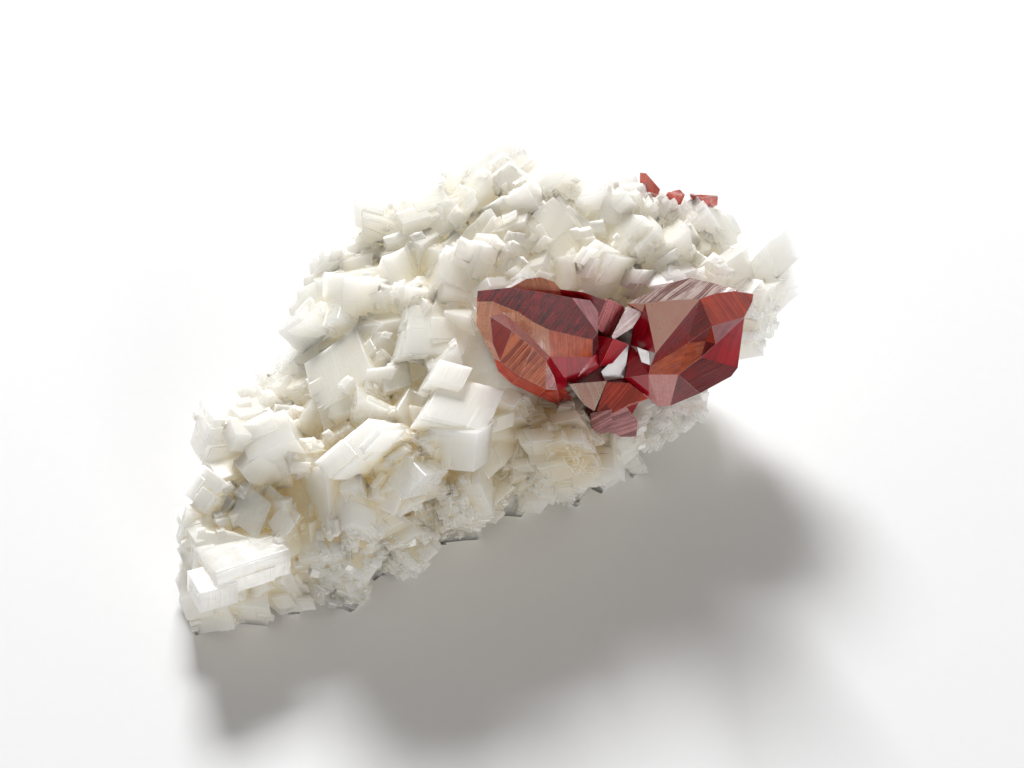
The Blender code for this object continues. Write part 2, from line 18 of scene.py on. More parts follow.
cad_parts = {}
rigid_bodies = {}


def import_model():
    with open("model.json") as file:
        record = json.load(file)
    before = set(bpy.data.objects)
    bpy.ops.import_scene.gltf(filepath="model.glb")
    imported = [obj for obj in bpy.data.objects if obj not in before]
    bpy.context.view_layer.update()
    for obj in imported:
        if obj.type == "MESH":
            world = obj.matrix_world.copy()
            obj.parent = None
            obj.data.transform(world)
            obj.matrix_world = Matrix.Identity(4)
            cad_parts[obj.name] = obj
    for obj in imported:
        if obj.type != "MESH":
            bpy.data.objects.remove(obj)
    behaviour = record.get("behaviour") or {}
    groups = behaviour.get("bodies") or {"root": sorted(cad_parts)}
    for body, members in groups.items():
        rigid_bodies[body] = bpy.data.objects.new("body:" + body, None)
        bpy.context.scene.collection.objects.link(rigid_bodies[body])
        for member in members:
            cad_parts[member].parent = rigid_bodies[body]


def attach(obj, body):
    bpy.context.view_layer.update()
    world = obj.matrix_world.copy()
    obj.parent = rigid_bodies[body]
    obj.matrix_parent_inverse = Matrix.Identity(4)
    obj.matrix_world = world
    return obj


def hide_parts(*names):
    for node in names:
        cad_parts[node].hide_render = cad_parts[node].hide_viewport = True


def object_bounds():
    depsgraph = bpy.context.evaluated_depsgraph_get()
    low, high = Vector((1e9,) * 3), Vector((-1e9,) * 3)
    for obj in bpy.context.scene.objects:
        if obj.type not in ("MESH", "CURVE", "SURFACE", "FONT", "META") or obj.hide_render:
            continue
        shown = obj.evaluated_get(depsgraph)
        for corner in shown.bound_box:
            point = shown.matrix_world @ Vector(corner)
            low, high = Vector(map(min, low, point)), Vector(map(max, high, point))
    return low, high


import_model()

bl_info = {
    "name": "Cinnabar on matrix",
    "version": (1, 0, 0),
    "blender": (4, 5, 0),
    "location": "3D View > Sidebar > Specimen",
    "description": "Grows the dolomite crystals, the cinnabar twin and the stage round the packed solids",
    "category": "Object",
}

CAD_BOX = [list(corner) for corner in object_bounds()]

MM = 0.001

# The middle of the specimen's box, in the coordinates that the lists below are written in
BOX_MIDDLE = (-1.3, 0.0, 0.0)

# A rhomb's three edges lean on each other at this angle, which is dolomite's
RHOMB_EDGE_ANGLE = 102.6

# Around the massive core, anticlockwise from the right end: the rim (x, y, z) and the foot (x, y, z) below it
CORE_STATIONS = (
    ((26.5, 8.5, 16.0), (23.5, 8.0, 11.0)),
    ((22.5, 13.0, 17.0), (20.0, 10.5, 8.5)),
    ((15.5, 15.5, 18.5), (14.5, 12.5, 3.0)),
    ((8.5, 17.0, 18.5), (8.0, 14.5, 0.0)),
    ((2.0, 20.0, 19.0), (2.0, 17.5, 0.0)),
    ((-5.0, 20.5, 17.5), (-4.5, 17.5, 0.0)),
    ((-12.5, 19.5, 15.0), (-11.0, 16.5, 0.0)),
    ((-17.5, 14.0, 12.0), (-15.5, 12.0, 0.0)),
    ((-20.5, 6.0, 11.0), (-18.0, 5.0, 0.0)),
    ((-23.5, -2.5, 9.0), (-21.0, -3.5, 0.0)),
    ((-27.5, -9.5, 7.0), (-25.0, -9.5, 0.0)),
    ((-28.5, -16.0, 5.0), (-26.5, -15.5, 0.0)),
    ((-23.5, -18.5, 5.5), (-23.5, -18.0, 0.0)),
    ((-16.0, -15.5, 7.5), (-17.0, -16.5, 0.0)),
    ((-9.5, -11.0, 10.5), (-10.0, -12.5, 0.0)),
    ((-3.5, -8.5, 12.0), (-4.0, -9.0, 0.0)),
    ((3.0, -6.0, 9.5), (3.0, -6.5, 0.0)),
    ((9.5, -5.0, 7.2), (8.0, -4.5, 0.0)),
    ((15.5, -1.2, 8.2), (13.5, -1.5, 3.5)),
    ((21.0, 2.5, 11.5), (18.5, 2.5, 7.5)),
)
FIRST_FLAT_STATION, LAST_FLAT_STATION = 3, 17
CROWN = (1.0, 6.0, 18.5)
SHOULDER_INWARD, SHOULDER_RISE = 0.4, 1.2
CROWN_INWARD = 0.75

# The rhombs that stand out: middle (x, y, z), edge length, flattening, and turns about X, Y and Z
LARGE_RHOMBS = (
    ((-28.3, -19.6, 2.6), 4.6, 1.0, (45, -45, -25)),
    ((-28.4, -15.6, 5.8), 4.4, 0.9, (33, -17, 7)),
    ((-13.2, 19.2, 15.0), 4.2, 0.9, (35, -20, 15)),
    ((-24.8, -3.6, 9.2), 4.2, 0.8, (20, -60, 35)),
    ((-4.9, -8.2, 16.3), 5.7, 0.5, (30, -31, -121)),
    ((-4.8, -11.2, 14.7), 4.7, 0.55, (154, -70, -46)),
    ((-27.4, -18.4, 5.2), 4.7, 0.9, (-21, 50, -158)),
    ((-22.6, -18.4, 3.3), 4.6, 0.8, (105, 5, -21)),
    ((-25.0, -20.0, 2.6), 4.2, 0.8, (-24, 58, -152)),
    ((-25.1, -18.2, 7.2), 6.7, 0.35, (17, -22, 16)),
    ((-17.3, -12.6, 9.0), 6.5, 0.5, (65, 50, -125)),
    ((-22.0, -9.3, 10.9), 5.3, 0.7, (39, 62, -87)),
    ((-26.7, -9.4, 8.3), 4.5, 0.6, (33, -17, 7)),
    ((-19.2, -10.4, 11.3), 2.6, 0.6, (47, -12, -4)),
    ((-14.6, -13.2, 8.5), 3.9, 0.7, (77, 33, -88)),
    ((-14.0, -15.2, 10.0), 3.9, 0.6, (46, 34, -21)),
    ((-12.7, -11.1, 13.9), 6.1, 0.5, (145, -11, 10)),
    ((-15.8, -2.2, 13.8), 6.2, 0.45, (20, -27, 101)),
    ((-15.4, 6.2, 15.2), 4.9, 0.9, (90, 26, -19)),
    ((-17.5, 5.8, 13.4), 5.6, 0.8, (32, 16, 157)),
    ((-16.2, 11.5, 12.4), 9.4, 0.4, (0, -37, 5)),
    ((-13.5, 16.6, 15.8), 4.5, 0.8, (119, 27, -30)),
    ((-11.3, 16.3, 16.8), 4.6, 0.6, (17, -11, 40)),
    ((-9.1, 15.0, 17.2), 5.4, 0.7, (10, 57, -111)),
    ((-5.5, 6.4, 18.8), 3.8, 0.6, (48, 0, -37)),
    ((-12.0, -13.7, 5.4), 4.0, 0.8, (140, 1, 4)),
    ((4.1, -6.0, 9.2), 5.0, 0.8, (137, 3, -21)),
    ((6.0, -6.2, 5.8), 5.2, 0.8, (130, 14, -17)),
    ((-18.0, -16.6, 5.2), 4.3, 0.8, (1, 64, -124)),
    ((-7.7, 1.0, 16.2), 5.8, 0.5, (27, -18, -107)),
    ((-9.9, -1.4, 13.8), 4.2, 0.6, (39, -23, -89)),
    ((-28.0, -12.0, 8.0), 3.4, 1.0, (60, -55, 10)),
    ((-27.0, -4.5, 9.0), 6.5, 0.6, (10, -15, 5)),
    ((-11.0, -11.0, 11.5), 5.4, 1.0, (20, -40, -40)),
    ((-9.5, -11.5, 10.5), 4.8, 0.9, (-15, -35, -70)),
    ((-4.0, -11.5, 8.5), 4.0, 0.9, (60, -55, -40)),
    ((-4.6, -10.8, 4.2), 3.8, 1.0, (20, -20, -95)),
    ((3.8, -7.0, 5.4), 4.4, 1.0, (45, -5, -10)),
    ((11.4, -3.4, 6.2), 3.6, 0.8, (75, -50, -115)),
    ((2.5, -6.4, 3.2), 3.8, 0.8, (0, -50, -25)),
    ((-0.8, -7.0, 4.4), 3.6, 1.0, (-5, -30, -50)),
    ((-18.8, 15.3, 12.6), 4.2, 1.0, (30, -35, -90)),
    ((-16.5, 7.5, 12.5), 5.0, 1.0, (0, -10, -90)),
    ((-20.5, 8.0, 11.5), 4.4, 1.0, (60, 10, -95)),
    ((-20.5, 2.5, 10.0), 4.6, 1.0, (10, 0, -30)),
    ((-22.5, -1.0, 9.5), 3.8, 1.0, (15, -5, -85)),
    ((-11.0, 16.5, 15.2), 5.0, 0.9, (0, 70, -85)),
    ((-6.0, 7.5, 17.5), 4.8, 0.7, (5, -65, 35)),
    ((-4.0, 17.5, 17.8), 5.2, 1.0, (80, -30, -90)),
    ((3.5, 11.0, 18.0), 6.6, 0.7, (-20, 35, 165)),
    ((11.0, 9.5, 19.3), 5.2, 0.8, (25, -60, 30)),
    ((9.0, 7.0, 18.2), 5.2, 0.8, (135, -30, 15)),
    ((15.0, 9.8, 18.8), 5.2, 0.7, (75, -35, -110)),
    ((15.5, 7.0, 17.5), 4.6, 0.8, (130, 10, -5)),
    ((12.4, 16.2, 19.4), 3.8, 0.9, (105, -15, -50)),
    ((6.5, 16.0, 19.2), 4.6, 0.9, (40, 10, 20)),
    ((3.0, 19.2, 19.6), 4.8, 0.8, (-25, 30, 60)),
    ((-1.0, 20.4, 19.2), 4.8, 1.0, (60, -35, 10)),
    ((-4.8, 20.0, 18.0), 4.4, 0.9, (20, 50, -40)),
    ((-8.5, 19.0, 16.4), 4.2, 0.9, (100, 20, 70)),
    ((18.5, 13.8, 18.0), 4.6, 0.9, (65, -60, -25)),
    ((21.0, 13.2, 17.6), 4.2, 0.9, (135, -45, -80)),
    ((24.6, 8.6, 16.0), 7.0, 0.5, (20, 35, -70)),
    ((24.0, 6.2, 14.0), 6.4, 0.6, (105, 40, 25)),
    ((17.6, -0.6, 8.8), 3.6, 0.9, (50, 25, 70)),
    ((22.6, 4.5, 11.6), 3.8, 0.9, (-35, 30, 15)),
    ((-16.0, -17.0, 3.2), 4.0, 0.9, (75, -20, 35)),
    ((-10.5, -14.2, 3.0), 4.0, 0.9, (-40, 15, -20)),
)

# Grown over what is left: how many, the edge's range, the closest spacing in edges, and how deep they sit
CRUST_SIZES = (
    (110, (3.8, 5.2), 0.80, 0.12),
    (190, (2.2, 3.4), 0.74, 0.02),
)
CRUST_SEED = 11
CRUST_TRIES = 60
SIDE_DROP_LIMIT = -0.35

# Nothing of the crust grows in the space before the cinnabar: least and greatest x, greatest y, least z
CINNABAR_ROOMS = ((-4.5, 21.5, 2.5, 9.0), (5.0, 16.0, 2.5, 6.2))

# The twin is looked at along a line that slopes down at this angle, towards this point
SIGHT_ELEVATION = 50
SIGHT_POINT = (0.0, 0.0, 10.0)
SIGHT_DISTANCE = 113.8

# How a facet is painted: its colour, the colour of its growth lines, how strong the lines are, how many
# of them there are in a millimetre, and how dull the facet is. Each colour is the facet as it is seen lit,
# so it holds painted light over the cinnabar's red: the pale tones (snow, crest, banded, bands, rose,
# blush) are painted highlights and reflections, lilac and violet painted reflections, the orange tones
# (ember, amber, tan and the orange red of the rims) painted glow of light through the crystal, and the
# darkest (wine, garnet, shade) painted shade
TONES = {
    "wine": ((0.42, 0.008, 0.018), (0.03, 0.002, 0.004), 0.92, 3.2, 0.16),
    "lilac": ((0.76, 0.29, 0.33), (0.25, 0.06, 0.08), 0.5, 4, 0.35),
    "tan": ((0.92, 0.38, 0.2), (0.3, 0.07, 0.04), 0.5, 1.8, 0.28),
    "amber": ((0.96, 0.16, 0.03), (0.3, 0.016, 0.006), 0.72, 4, 0.2),
    "crimson": ((0.74, 0.008, 0.03), (0.16, 0.002, 0.01), 0.4, 1, 0.08),
    "garnet": ((0.36, 0.004, 0.01), (0.06, 0.001, 0.003), 0.5, 1.4, 0.1),
    "ember": ((0.98, 0.27, 0.12), (0.22, 0.008, 0.006), 0.78, 1.7, 0.1),
    "shade": ((0.28, 0.008, 0.006), (0.7, 0.04, 0.015), 0.6, 2.6, 0.14),
    "rust": ((0.87, 0.09, 0.04), (0.28, 0.014, 0.01), 0.65, 1.6, 0.16),
    "rose": ((0.98, 0.47, 0.45), (0.85, 0.18, 0.18), 0.3, 2.4, 0.26),
    "blush": ((0.98, 0.56, 0.43), (0.9, 0.3, 0.22), 0.25, 1.4, 0.34),
    "crest": ((0.98, 0.78, 0.72), (0.2, 0.04, 0.03), 0.85, 1.9, 0.16),
    "snow": ((0.98, 0.95, 0.94), (0.98, 0.86, 0.84), 0.3, 1.2, 0.2),
    "banded": ((0.98, 0.7, 0.66), (0.3, 0.04, 0.04), 0.8, 2.4, 0.2),
    "scratched": ((0.98, 0.24, 0.25), (0.3, 0.018, 0.025), 0.75, 2.2, 0.26),
    "bands": ((0.98, 0.82, 0.68), (0.85, 0.2, 0.14), 0.55, 1.1, 0.28),
    "violet": ((0.9, 0.4, 0.4), (0.2, 0.04, 0.045), 0.75, 1, 0.26),
    "vermilion": ((0.97, 0.16, 0.09), (0.6, 0.04, 0.03), 0.5, 1.5, 0.2),
    "side": ((0.68, 0.028, 0.039), (0.15, 0.005, 0.009), 0.6, 1.2, 0.2),
}

# The two wings of the twin, each with the root that it tapers to, its corners (across, up, towards the
# eye), and its facets: tone, which holds the facet's painted light, the way that the growth lines run in
# degrees from the horizontal, and corners. The open edge is closed by the root.
LEFT_WING = {
    "root": (3, 3.5, -1),
    "corners": {
        "brow 0": (-3.1, 8.4, 11.2), "brow 1": (-3.2, 7.5, 10.3), "brow 2": (-0.2, 8.7, 11.1),
        "brow 3": (2.5, 8.4, 10.4), "brow 4": (5.5, 7.9, 9.6), "brow 5": (7.2, 7.7, 9.2),
        "brow 6": (8, 6.7, 8.2), "brow 7": (8.1, 4.8, 6.5), "brow 8": (7.6, 4.2, 6),
        "brow 9": (3.4, 5.1, 7.4),
        "brow 10": (2.1, 5.7, 8), "brow 11": (0.6, 6.6, 9.1), "brow 12": (-1.8, 7.5, 10.2),
        "ridge 1": (-2, 6.2, 9.3), "ridge 2": (0, 4.9, 8.9), "ridge 3": (1.9, 3.4, 8.3),
        "ridge 4": (3.2, 2.1, 7.4), "ridge 5": (4, 0.6, 6.4), "ridge 6": (4.3, -0.6, 5.6),
        "fold 1": (-0.9, 6.6, 8.8), "fold 2": (1.1, 5.1, 7.4), "fold 3": (3.6, 2.6, 5.8),
        "notch 1": (7.7, 2.6, 4.4), "notch 2": (8.4, 3, 4), "notch 3": (8.5, 1.6, 3.6),
        "notch 4": (5.6, -0.2, 3.8), "rim 0": (-3.3, 5.5, 8.6), "rim 1": (-2.6, 4.1, 7.8),
        "rim 2": (-1.7, 2.4, 6.9), "rim 3": (-1.3, 1.2, 6.3), "rim 4": (0, 0, 5.7), "rim 5": (2.5, -1.2, 5.1),
        "rim 6": (4.6, -2.1, 4.6), "rim 7": (5.8, -2, 4), "pane 1": (-1.8, 3.8, 8),
        "pane 2": (-1.1, 2.1, 7.5), "pane 3": (0.8, 0.7, 7), "pane 4": (3.2, -0.5, 6.3),
    },
    "facets": (
        ("wine", 52, "brow 0, brow 1, brow 12, brow 11, brow 10, brow 9, brow 8, brow 7, brow 4, brow 3, "
         "brow 2"),
        ("lilac", 118, "brow 4, brow 7, brow 6, brow 5"),
        ("tan", 70, "brow 1, rim 0, ridge 1, brow 12"),
        ("tan", 60, "brow 12, ridge 1, fold 1"),
        ("tan", 92, "brow 12, fold 1, fold 2, fold 3, brow 9, brow 10, brow 11"),
        ("rose", 132, "ridge 1, ridge 2, ridge 3, ridge 4, fold 3, fold 2, fold 1"),
        ("amber", 92, "brow 9, fold 3, notch 1, brow 8"),
        ("wine", 60, "brow 7, brow 8, notch 1, notch 2"),
        ("crimson", 40, "notch 1, notch 4, notch 3, notch 2"),
        ("crimson", 100, "fold 3, ridge 4, ridge 5, ridge 6, notch 4, notch 1"),
        ("shade", 50, "ridge 1, pane 1, pane 2, ridge 2"),
        ("ember", 48, "ridge 2, pane 2, pane 3, ridge 3"),
        ("ember", 48, "ridge 3, pane 3, pane 4, ridge 4"),
        ("shade", 55, "ridge 4, pane 4, ridge 6, ridge 5"),
        ("tan", 80, "ridge 1, rim 0, rim 1, pane 1"),
        ("blush", 100, "pane 1, rim 1, rim 2, pane 2"),
        ("rust", 140, "pane 2, rim 2, rim 3, rim 4, pane 3"),
        ("rust", 155, "pane 3, rim 4, rim 5, pane 4"),
        ("rust", 155, "pane 4, rim 5, rim 6, ridge 6"),
        ("rust", 120, "ridge 6, rim 6, rim 7, notch 4"),
    ),
    "open edge": "brow 0, brow 2, brow 3, brow 4, brow 5, brow 6, brow 7, notch 2, notch 3, notch 4, "
    "rim 7, rim 6, rim 5, rim 4, rim 3, rim 2, rim 1, rim 0, brow 1",
}
RIGHT_WING = {
    "root": (15.5, 4, 0),
    "corners": {
        "brow 0": (12.4, 7.5, 7.8), "brow 1": (14.7, 7.7, 9.4), "brow 2": (17, 7.7, 10.9),
        "brow 3": (18.2, 8.1, 12.2), "brow 4": (19.7, 8.2, 13.2), "brow 5": (21.2, 7.9, 13.9),
        "brow 6": (21.2, 7.3, 13.5), "crest 0": (10.9, 7.6, 6.2), "crest 1": (12, 8.2, 7),
        "crest 2": (13.3, 8.7, 7.7), "crest 3": (14.8, 9.4, 8.2), "crest 4": (16.4, 9.8, 8.9),
        "crest 5": (18, 9.2, 10.8), "crest 6": (19.8, 8.4, 12.9), "rim 0": (20.8, 6, 12),
        "rim 1": (21, 1.5, 8), "rim 2": (20.5, 0.7, 7.4), "rim 3": (17.9, -0.9, 5.4),
        "rim 4": (15.3, -2.1, 3.8), "rim 5": (14.2, -2.2, 3.4), "rim 6": (13.3, -1.4, 3.4),
        "peak": (13.5, 2.9, 6.8), "fold 1": (18.3, 5.3, 9.6), "fold 2": (18.8, 3.7, 8.8),
        "fold 3": (18.1, 4, 7.4), "fold 4": (16.6, 3.9, 6.6), "fold 5": (13.2, 1.7, 5.4),
        "fold 6": (15.8, 0.9, 5.8), "fold 7": (13.1, 0.9, 4.8), "fold 8": (17.8, 2.5, 6.8),
        "flank 1": (10.9, 0.6, 4), "flank 2": (11.5, 3.8, 3.2), "flank 3": (11.6, 5.4, 4.6),
        "flank 4": (12.3, 6.8, 6.6),
    },
    "facets": (
        ("blush", 60, "brow 0, brow 1, brow 2, peak"),
        ("rust", 128, "brow 2, brow 3, brow 4, brow 5, brow 6, rim 0, fold 1"),
        ("lilac", 60, "fold 1, rim 0, fold 2"),
        ("garnet", 50, "peak, brow 2, fold 1, fold 4"),
        ("garnet", 60, "fold 1, fold 3, fold 4"),
        ("rust", 120, "fold 1, fold 2, fold 3"),
        ("garnet", 40, "peak, fold 4, fold 5"),
        ("amber", 20, "fold 4, fold 3, fold 8"),
        ("amber", 25, "fold 4, fold 8, fold 6"),
        ("amber", 25, "fold 4, fold 6, fold 7, fold 5"),
        ("crimson", 80, "fold 2, rim 0, rim 1, fold 8"),
        ("garnet", 80, "fold 2, fold 8, fold 3"),
        ("garnet", 30, "fold 8, rim 1, rim 2, rim 3, fold 6"),
        ("garnet", 40, "fold 6, rim 3, rim 4"),
        ("rose", 100, "fold 7, fold 6, rim 4, rim 5"),
        ("rose", 60, "fold 7, rim 5, rim 6"),
        ("crimson", 75, "flank 4, brow 0, peak, flank 3"),
        ("crimson", 75, "flank 3, peak, flank 2"),
        ("snow", 20, "peak, fold 5, flank 2"),
        ("crimson", 40, "fold 5, fold 7, flank 1, flank 2"),
        ("crimson", 60, "fold 7, rim 6, flank 1"),
        ("crest", 38, "brow 0, crest 0, crest 1, crest 2, crest 3, crest 4, crest 5, crest 6, brow 4, "
         "brow 3, brow 2, brow 1"),
        ("blush", 40, "flank 4, crest 0, brow 0"),
        ("crest", 38, "brow 4, crest 6, brow 5"),
    ),
    "open edge": "crest 0, crest 1, crest 2, crest 3, crest 4, crest 5, crest 6, brow 5, brow 6, "
    "rim 0, rim 1, rim 2, rim 3, rim 4, rim 5, rim 6, flank 1, flank 2, flank 3, flank 4",
}

# The smaller crystals of the twin: tone, which holds the facet's painted light, growth lines, depth, and
# the corners of the front. Each tapers away from the eye to its root
TAPER = 0.6
SMALL_CRYSTALS = (
    ("tan", 100, 5, ((-0.2, 8.7, 10.6), (1.3, 9.6, 10), (2.6, 9.8, 9.6), (3.9, 9.4, 9), (4.6, 8.6, 8.8),
                            (4.4, 6.5, 7), (0.2, 6.8, 8.4))),
    ("garnet", 150, 5, ((4.4, 8.7, 9.3), (6.5, 8.5, 8.8), (8.8, 7.8, 7.6), (8.3, 6.5, 6.6), (7.4, 5.2, 5.6),
                            (5, 6, 6.8))),
    ("scratched", 70, 5, ((8.1, 8, 7.4), (9.4, 7.9, 7), (10.6, 7.3, 6.2), (10.7, 6.5, 5.6), (9.8, 4.5, 4.4),
                            (9, 4.6, 4.4), (8, 5.4, 5.4))),
    ("banded", 40, 5, ((10.8, 7.3, 6.8), (12.4, 6.8, 6.2), (11.4, 5.3, 6), (9.6, 4.2, 6.1), (9.4, 4.5, 6.3))),
    ("snow", 50, 4, ((11.3, 3.9, 4.04), (10.9, 0.6, 3.24), (9, 0.3, 3.69), (8.6, 1.2, 4.05),
                     (9.7, 2.1, 3.99))),
    ("snow", 20, 3, ((13.3, 3, 5.67), (13.1, 1.8, 5.4), (12.3, 2.1, 5.7), (11.8, 3.5, 6.23))),
    ("crimson", 45, 5, ((8.2, 4.7, 4.6), (9.6, 4.3, 6.2), (11.2, 3.8, 5), (8.5, 1.7, 4.2), (9.7, 2, 4))),
    ("bands", 112, 4, ((5.4, 0, 4.8), (9.1, 0.3, 4.8), (8.4, -1.3, 5.2), (7.9, -2.6, 4.8), (6.9, -2, 4.6))),
    ("rust", 50, 4, ((9.1, 0.2, 4.8), (11.3, 0.1, 4.4), (13.2, -1.4, 4), (11.4, -1.9, 4.8),
                            (9.7, -2.8, 4.8), (8.1, -2.6, 4.8))),
    ("violet", 30, 3.5, ((7.5, -2.8, 4.6), (7.7, -4.3, 4.3), (8.5, -4.8, 4.2), (9.6, -4.6, 4.6),
                            (9.5, -2.4, 5.5))),
    ("violet", 20, 3.5, ((10.8, -2, 4.8), (12.1, -3.6, 4.6), (12, -5.1, 4), (10.5, -5.1, 3.8),
                            (9.4, -4.6, 3.8), (9.4, -2.6, 4.7))),
    ("crimson", 60, 5, ((4, 5, 2.5), (14, 5, 2), (12.8, -1, 2.8), (11.2, -4, 2.6), (8.4, -4, 2.8),
                            (6, -1.5, 3.2))),
)

# The small cinnabar crystals on the rear rim, by their corners (x, y, z)
REAR_CRYSTALS = {
    "rear_cinnabar_blade": (
        (13.0, 18.0, 22.2), (13.6, 17.4, 22.6), (14.9, 15.2, 22.3), (14.7, 14.8, 21.8), (13.0, 17.0, 20.8),
        (14.6, 15.8, 20.6), (14.0, 17.8, 21.0),
    ),
    "rear_cinnabar_left": (
        (15.0, 14.8, 21.0), (15.7, 15.3, 21.9), (17.0, 15.8, 21.8), (17.6, 15.6, 21.2), (15.4, 15.0, 20.0),
        (16.2, 16.8, 20.2), (17.2, 15.2, 20.2),
    ),
    "rear_cinnabar_right": (
        (17.9, 15.6, 21.4), (18.7, 14.6, 20.3), (19.2, 15.2, 21.2), (20.9, 15.5, 21.2), (20.9, 14.9, 20.4),
        (18.8, 16.6, 20.2), (20.2, 16.4, 19.8), (19.0, 14.8, 19.2),
    ),
}

# Small crystals on what the larger ones leave: least and greatest edge, how many, and how deep the hollow
# is that they grow in
FINE_SIZES = ((2.0, 3.6, 240, 0.22), (1.0, 2.0, 480, 0.38), (0.5, 1.0, 700, 0.45))
PARALLEL_SHARE = 0.82
FINE_HOLLOW_REACH = 3.0
FINE_SEED = 17

# Patches of small crystals as they are seen from the front: (across, up, reach, how many, least and
# greatest edge, tint). A tint of None is drawn for each crystal; one of 2 is a dark speck
PATCHES = (
    (5.5, -5.0, 5.5, 60, 1.4, 3.0, None), (0.9, -2.8, 2.4, 16, 1.2, 2.4, None),
    (3.0, -9.5, 4.0, 16, 1.0, 2.2, None),
    (-16.2, -19.1, 5.5, 190, 0.35, 0.9, -0.7), (-10.0, -18.5, 4.0, 90, 0.35, 0.9, -0.7),
    (-6.2, -12.8, 3.8, 120, 0.3, 0.8, -0.7), (3.6, -11.4, 4.5, 120, 0.3, 0.8, -0.7),
    (16.3, -3.6, 4.5, 190, 0.4, 1.0, -0.7), (24.5, 6.0, 3.0, 40, 0.5, 1.2, -0.7),
    (14.2, 19.0, 1.6, 14, 0.5, 1.1, -0.5), (17.4, 18.0, 2.2, 24, 0.5, 1.1, -0.5),
    (-21.0, 11.4, 0.5, 1, 0.5, 0.6, 2.0), (-32.0, -19.4, 0.5, 1, 0.3, 0.4, 2.0),
    (-23.4, -19.4, 0.5, 1, 0.3, 0.4, 2.0), (-12.0, -16.5, 0.5, 1, 0.3, 0.4, 2.0),
    (-28.6, -5.8, 0.5, 1, 0.3, 0.4, 2.0),
)

# Zones of painted shade, and of other tints: (middle along the line of sight, reach in millimetres, colour)
SHADE_AND_TINT_ZONES = (
    # painted shade under the twin
    ((5.5, -5.0, 4.0), 6.5, (0.72, 0.58, 0.38)),
    # a pink zone below the right wing
    ((16.0, -3.2, 3.0), 5.5, (0.95, 0.78, 0.72)),
    # darker and tan low on the left side
    ((-24.0, -8.0, 3.0), 6.0, (0.80, 0.70, 0.52)),
    # painted shade on the low left tip
    ((-27.5, -20.0, 2.0), 8.0, (0.80, 0.74, 0.62)),
    # painted shade low at the front left
    ((-20.0, -19.0, 3.0), 7.0, (0.84, 0.78, 0.66)),
    # painted shade low at the front
    ((-2.0, -9.5, 4.0), 6.0, (0.80, 0.71, 0.54)),
)

# How finely a crystal is made: cuts along its edges, growth plates, and cuts along a plate's edges
LARGE_QUALITY = (3, 8, 1)
CRUST_QUALITY = (2, 4, 0)
FINE_QUALITY = (0, 0, 0)

# The tint that paints a milk-white highlight on a chamfered edge, and the colour of a dark speck
EDGE_HIGHLIGHT_TINT = -1.0
SPECK_COLOUR = (0.09, 0.08, 0.07, 1.0)
DOLOMITE_REFRACTION = 1.6
DOLOMITE_SUBSURFACE = 0.9
# How far round a point the hollows that take painted shade are sought, in millimetres
HOLLOW_REACH = 2.6

CINNABAR_GLOSS = 0.18
# The pinkish white painted on the twin's bevelled edges: a painted highlight
CINNABAR_EDGE_HIGHLIGHT = (0.98, 0.82, 0.78, 1.0)
SEAT_GAP = 0.06

# The lights, each with its setting's name, size and place in metres, and the point that they shine on
LIGHTS = (
    ("key", (0.32, 0.19), (-0.13, 0.69, 0.525)),
    ("front", (0.30, 0.30), (0.416, -0.783, 0.166)),
)
LIGHT_COLOUR = (0.98, 0.99, 1.0)
LIT_POINT = (0.0, 0.0, 0.01)
ROOM_COLOUR = (1.0, 0.97, 0.91, 1.0)
CAMERA_PLACE = (1.3, -73.149, 97.176)
CAMERA_LENS = 40.0



def placed(point):
    """A point of the lists above, in metres in the specimen's frame."""
    return (Vector(point) - Vector(BOX_MIDDLE)) * MM


def core_mesh():
    """The massive dolomite: a flat foot, a leaning side, a rim, a shoulder and a crown, ring by ring."""
    crown = placed(CROWN)
    rims = [placed(rim) for rim, foot in CORE_STATIONS]
    feet = [placed(foot) for rim, foot in CORE_STATIONS]
    shoulders = [rim.lerp(crown, SHOULDER_INWARD) + Vector((0, 0, SHOULDER_RISE * MM)) for rim in rims]
    crowns = [rim.lerp(crown, CROWN_INWARD) + Vector((0, 0, SHOULDER_RISE * MM)) for rim in rims]
    bm = bmesh.new()
    rings = [[bm.verts.new(point) for point in ring] for ring in (feet, rims, shoulders, crowns)]
    count = len(CORE_STATIONS)
    for lower, upper in zip(rings, rings[1:]):
        for i in range(count):
            j = (i + 1) % count
            bm.faces.new((lower[i], lower[j], upper[j], upper[i]))
    foot_ring = rings[0]
    flat = foot_ring[FIRST_FLAT_STATION : LAST_FLAT_STATION + 1]
    raised = foot_ring[LAST_FLAT_STATION:] + foot_ring[: FIRST_FLAT_STATION + 1]
    bm.faces.new(flat)
    bm.faces.new(raised)
    bm.faces.new(rings[-1])
    bmesh.ops.triangulate(bm, faces=[face for face in bm.faces if len(face.verts) > 3])
    bmesh.ops.recalc_face_normals(bm, faces=bm.faces)
    return bm


def rhomb_edges():
    """Three unit vectors that lean on each other at the rhomb's angle, evenly round Z."""
    cosine = math.cos(math.radians(RHOMB_EDGE_ANGLE))
    rise = math.sqrt((2 * cosine + 1) / 3)
    spread = math.sqrt(1 - rise * rise)
    turns = [math.tau * k / 3 for k in range(3)]
    return [Vector((spread * math.cos(t), spread * math.sin(t), -rise)) for t in turns]


def in_cinnabar_room(point):
    """True where a crystal would stand between the cinnabar and someone who looks at it."""
    x, y, z = point / MM + Vector(BOX_MIDDLE)
    return any(
        least_x < x < greatest_x and y < greatest_y and z > least_z
        for least_x, greatest_x, greatest_y, least_z in CINNABAR_ROOMS
    )


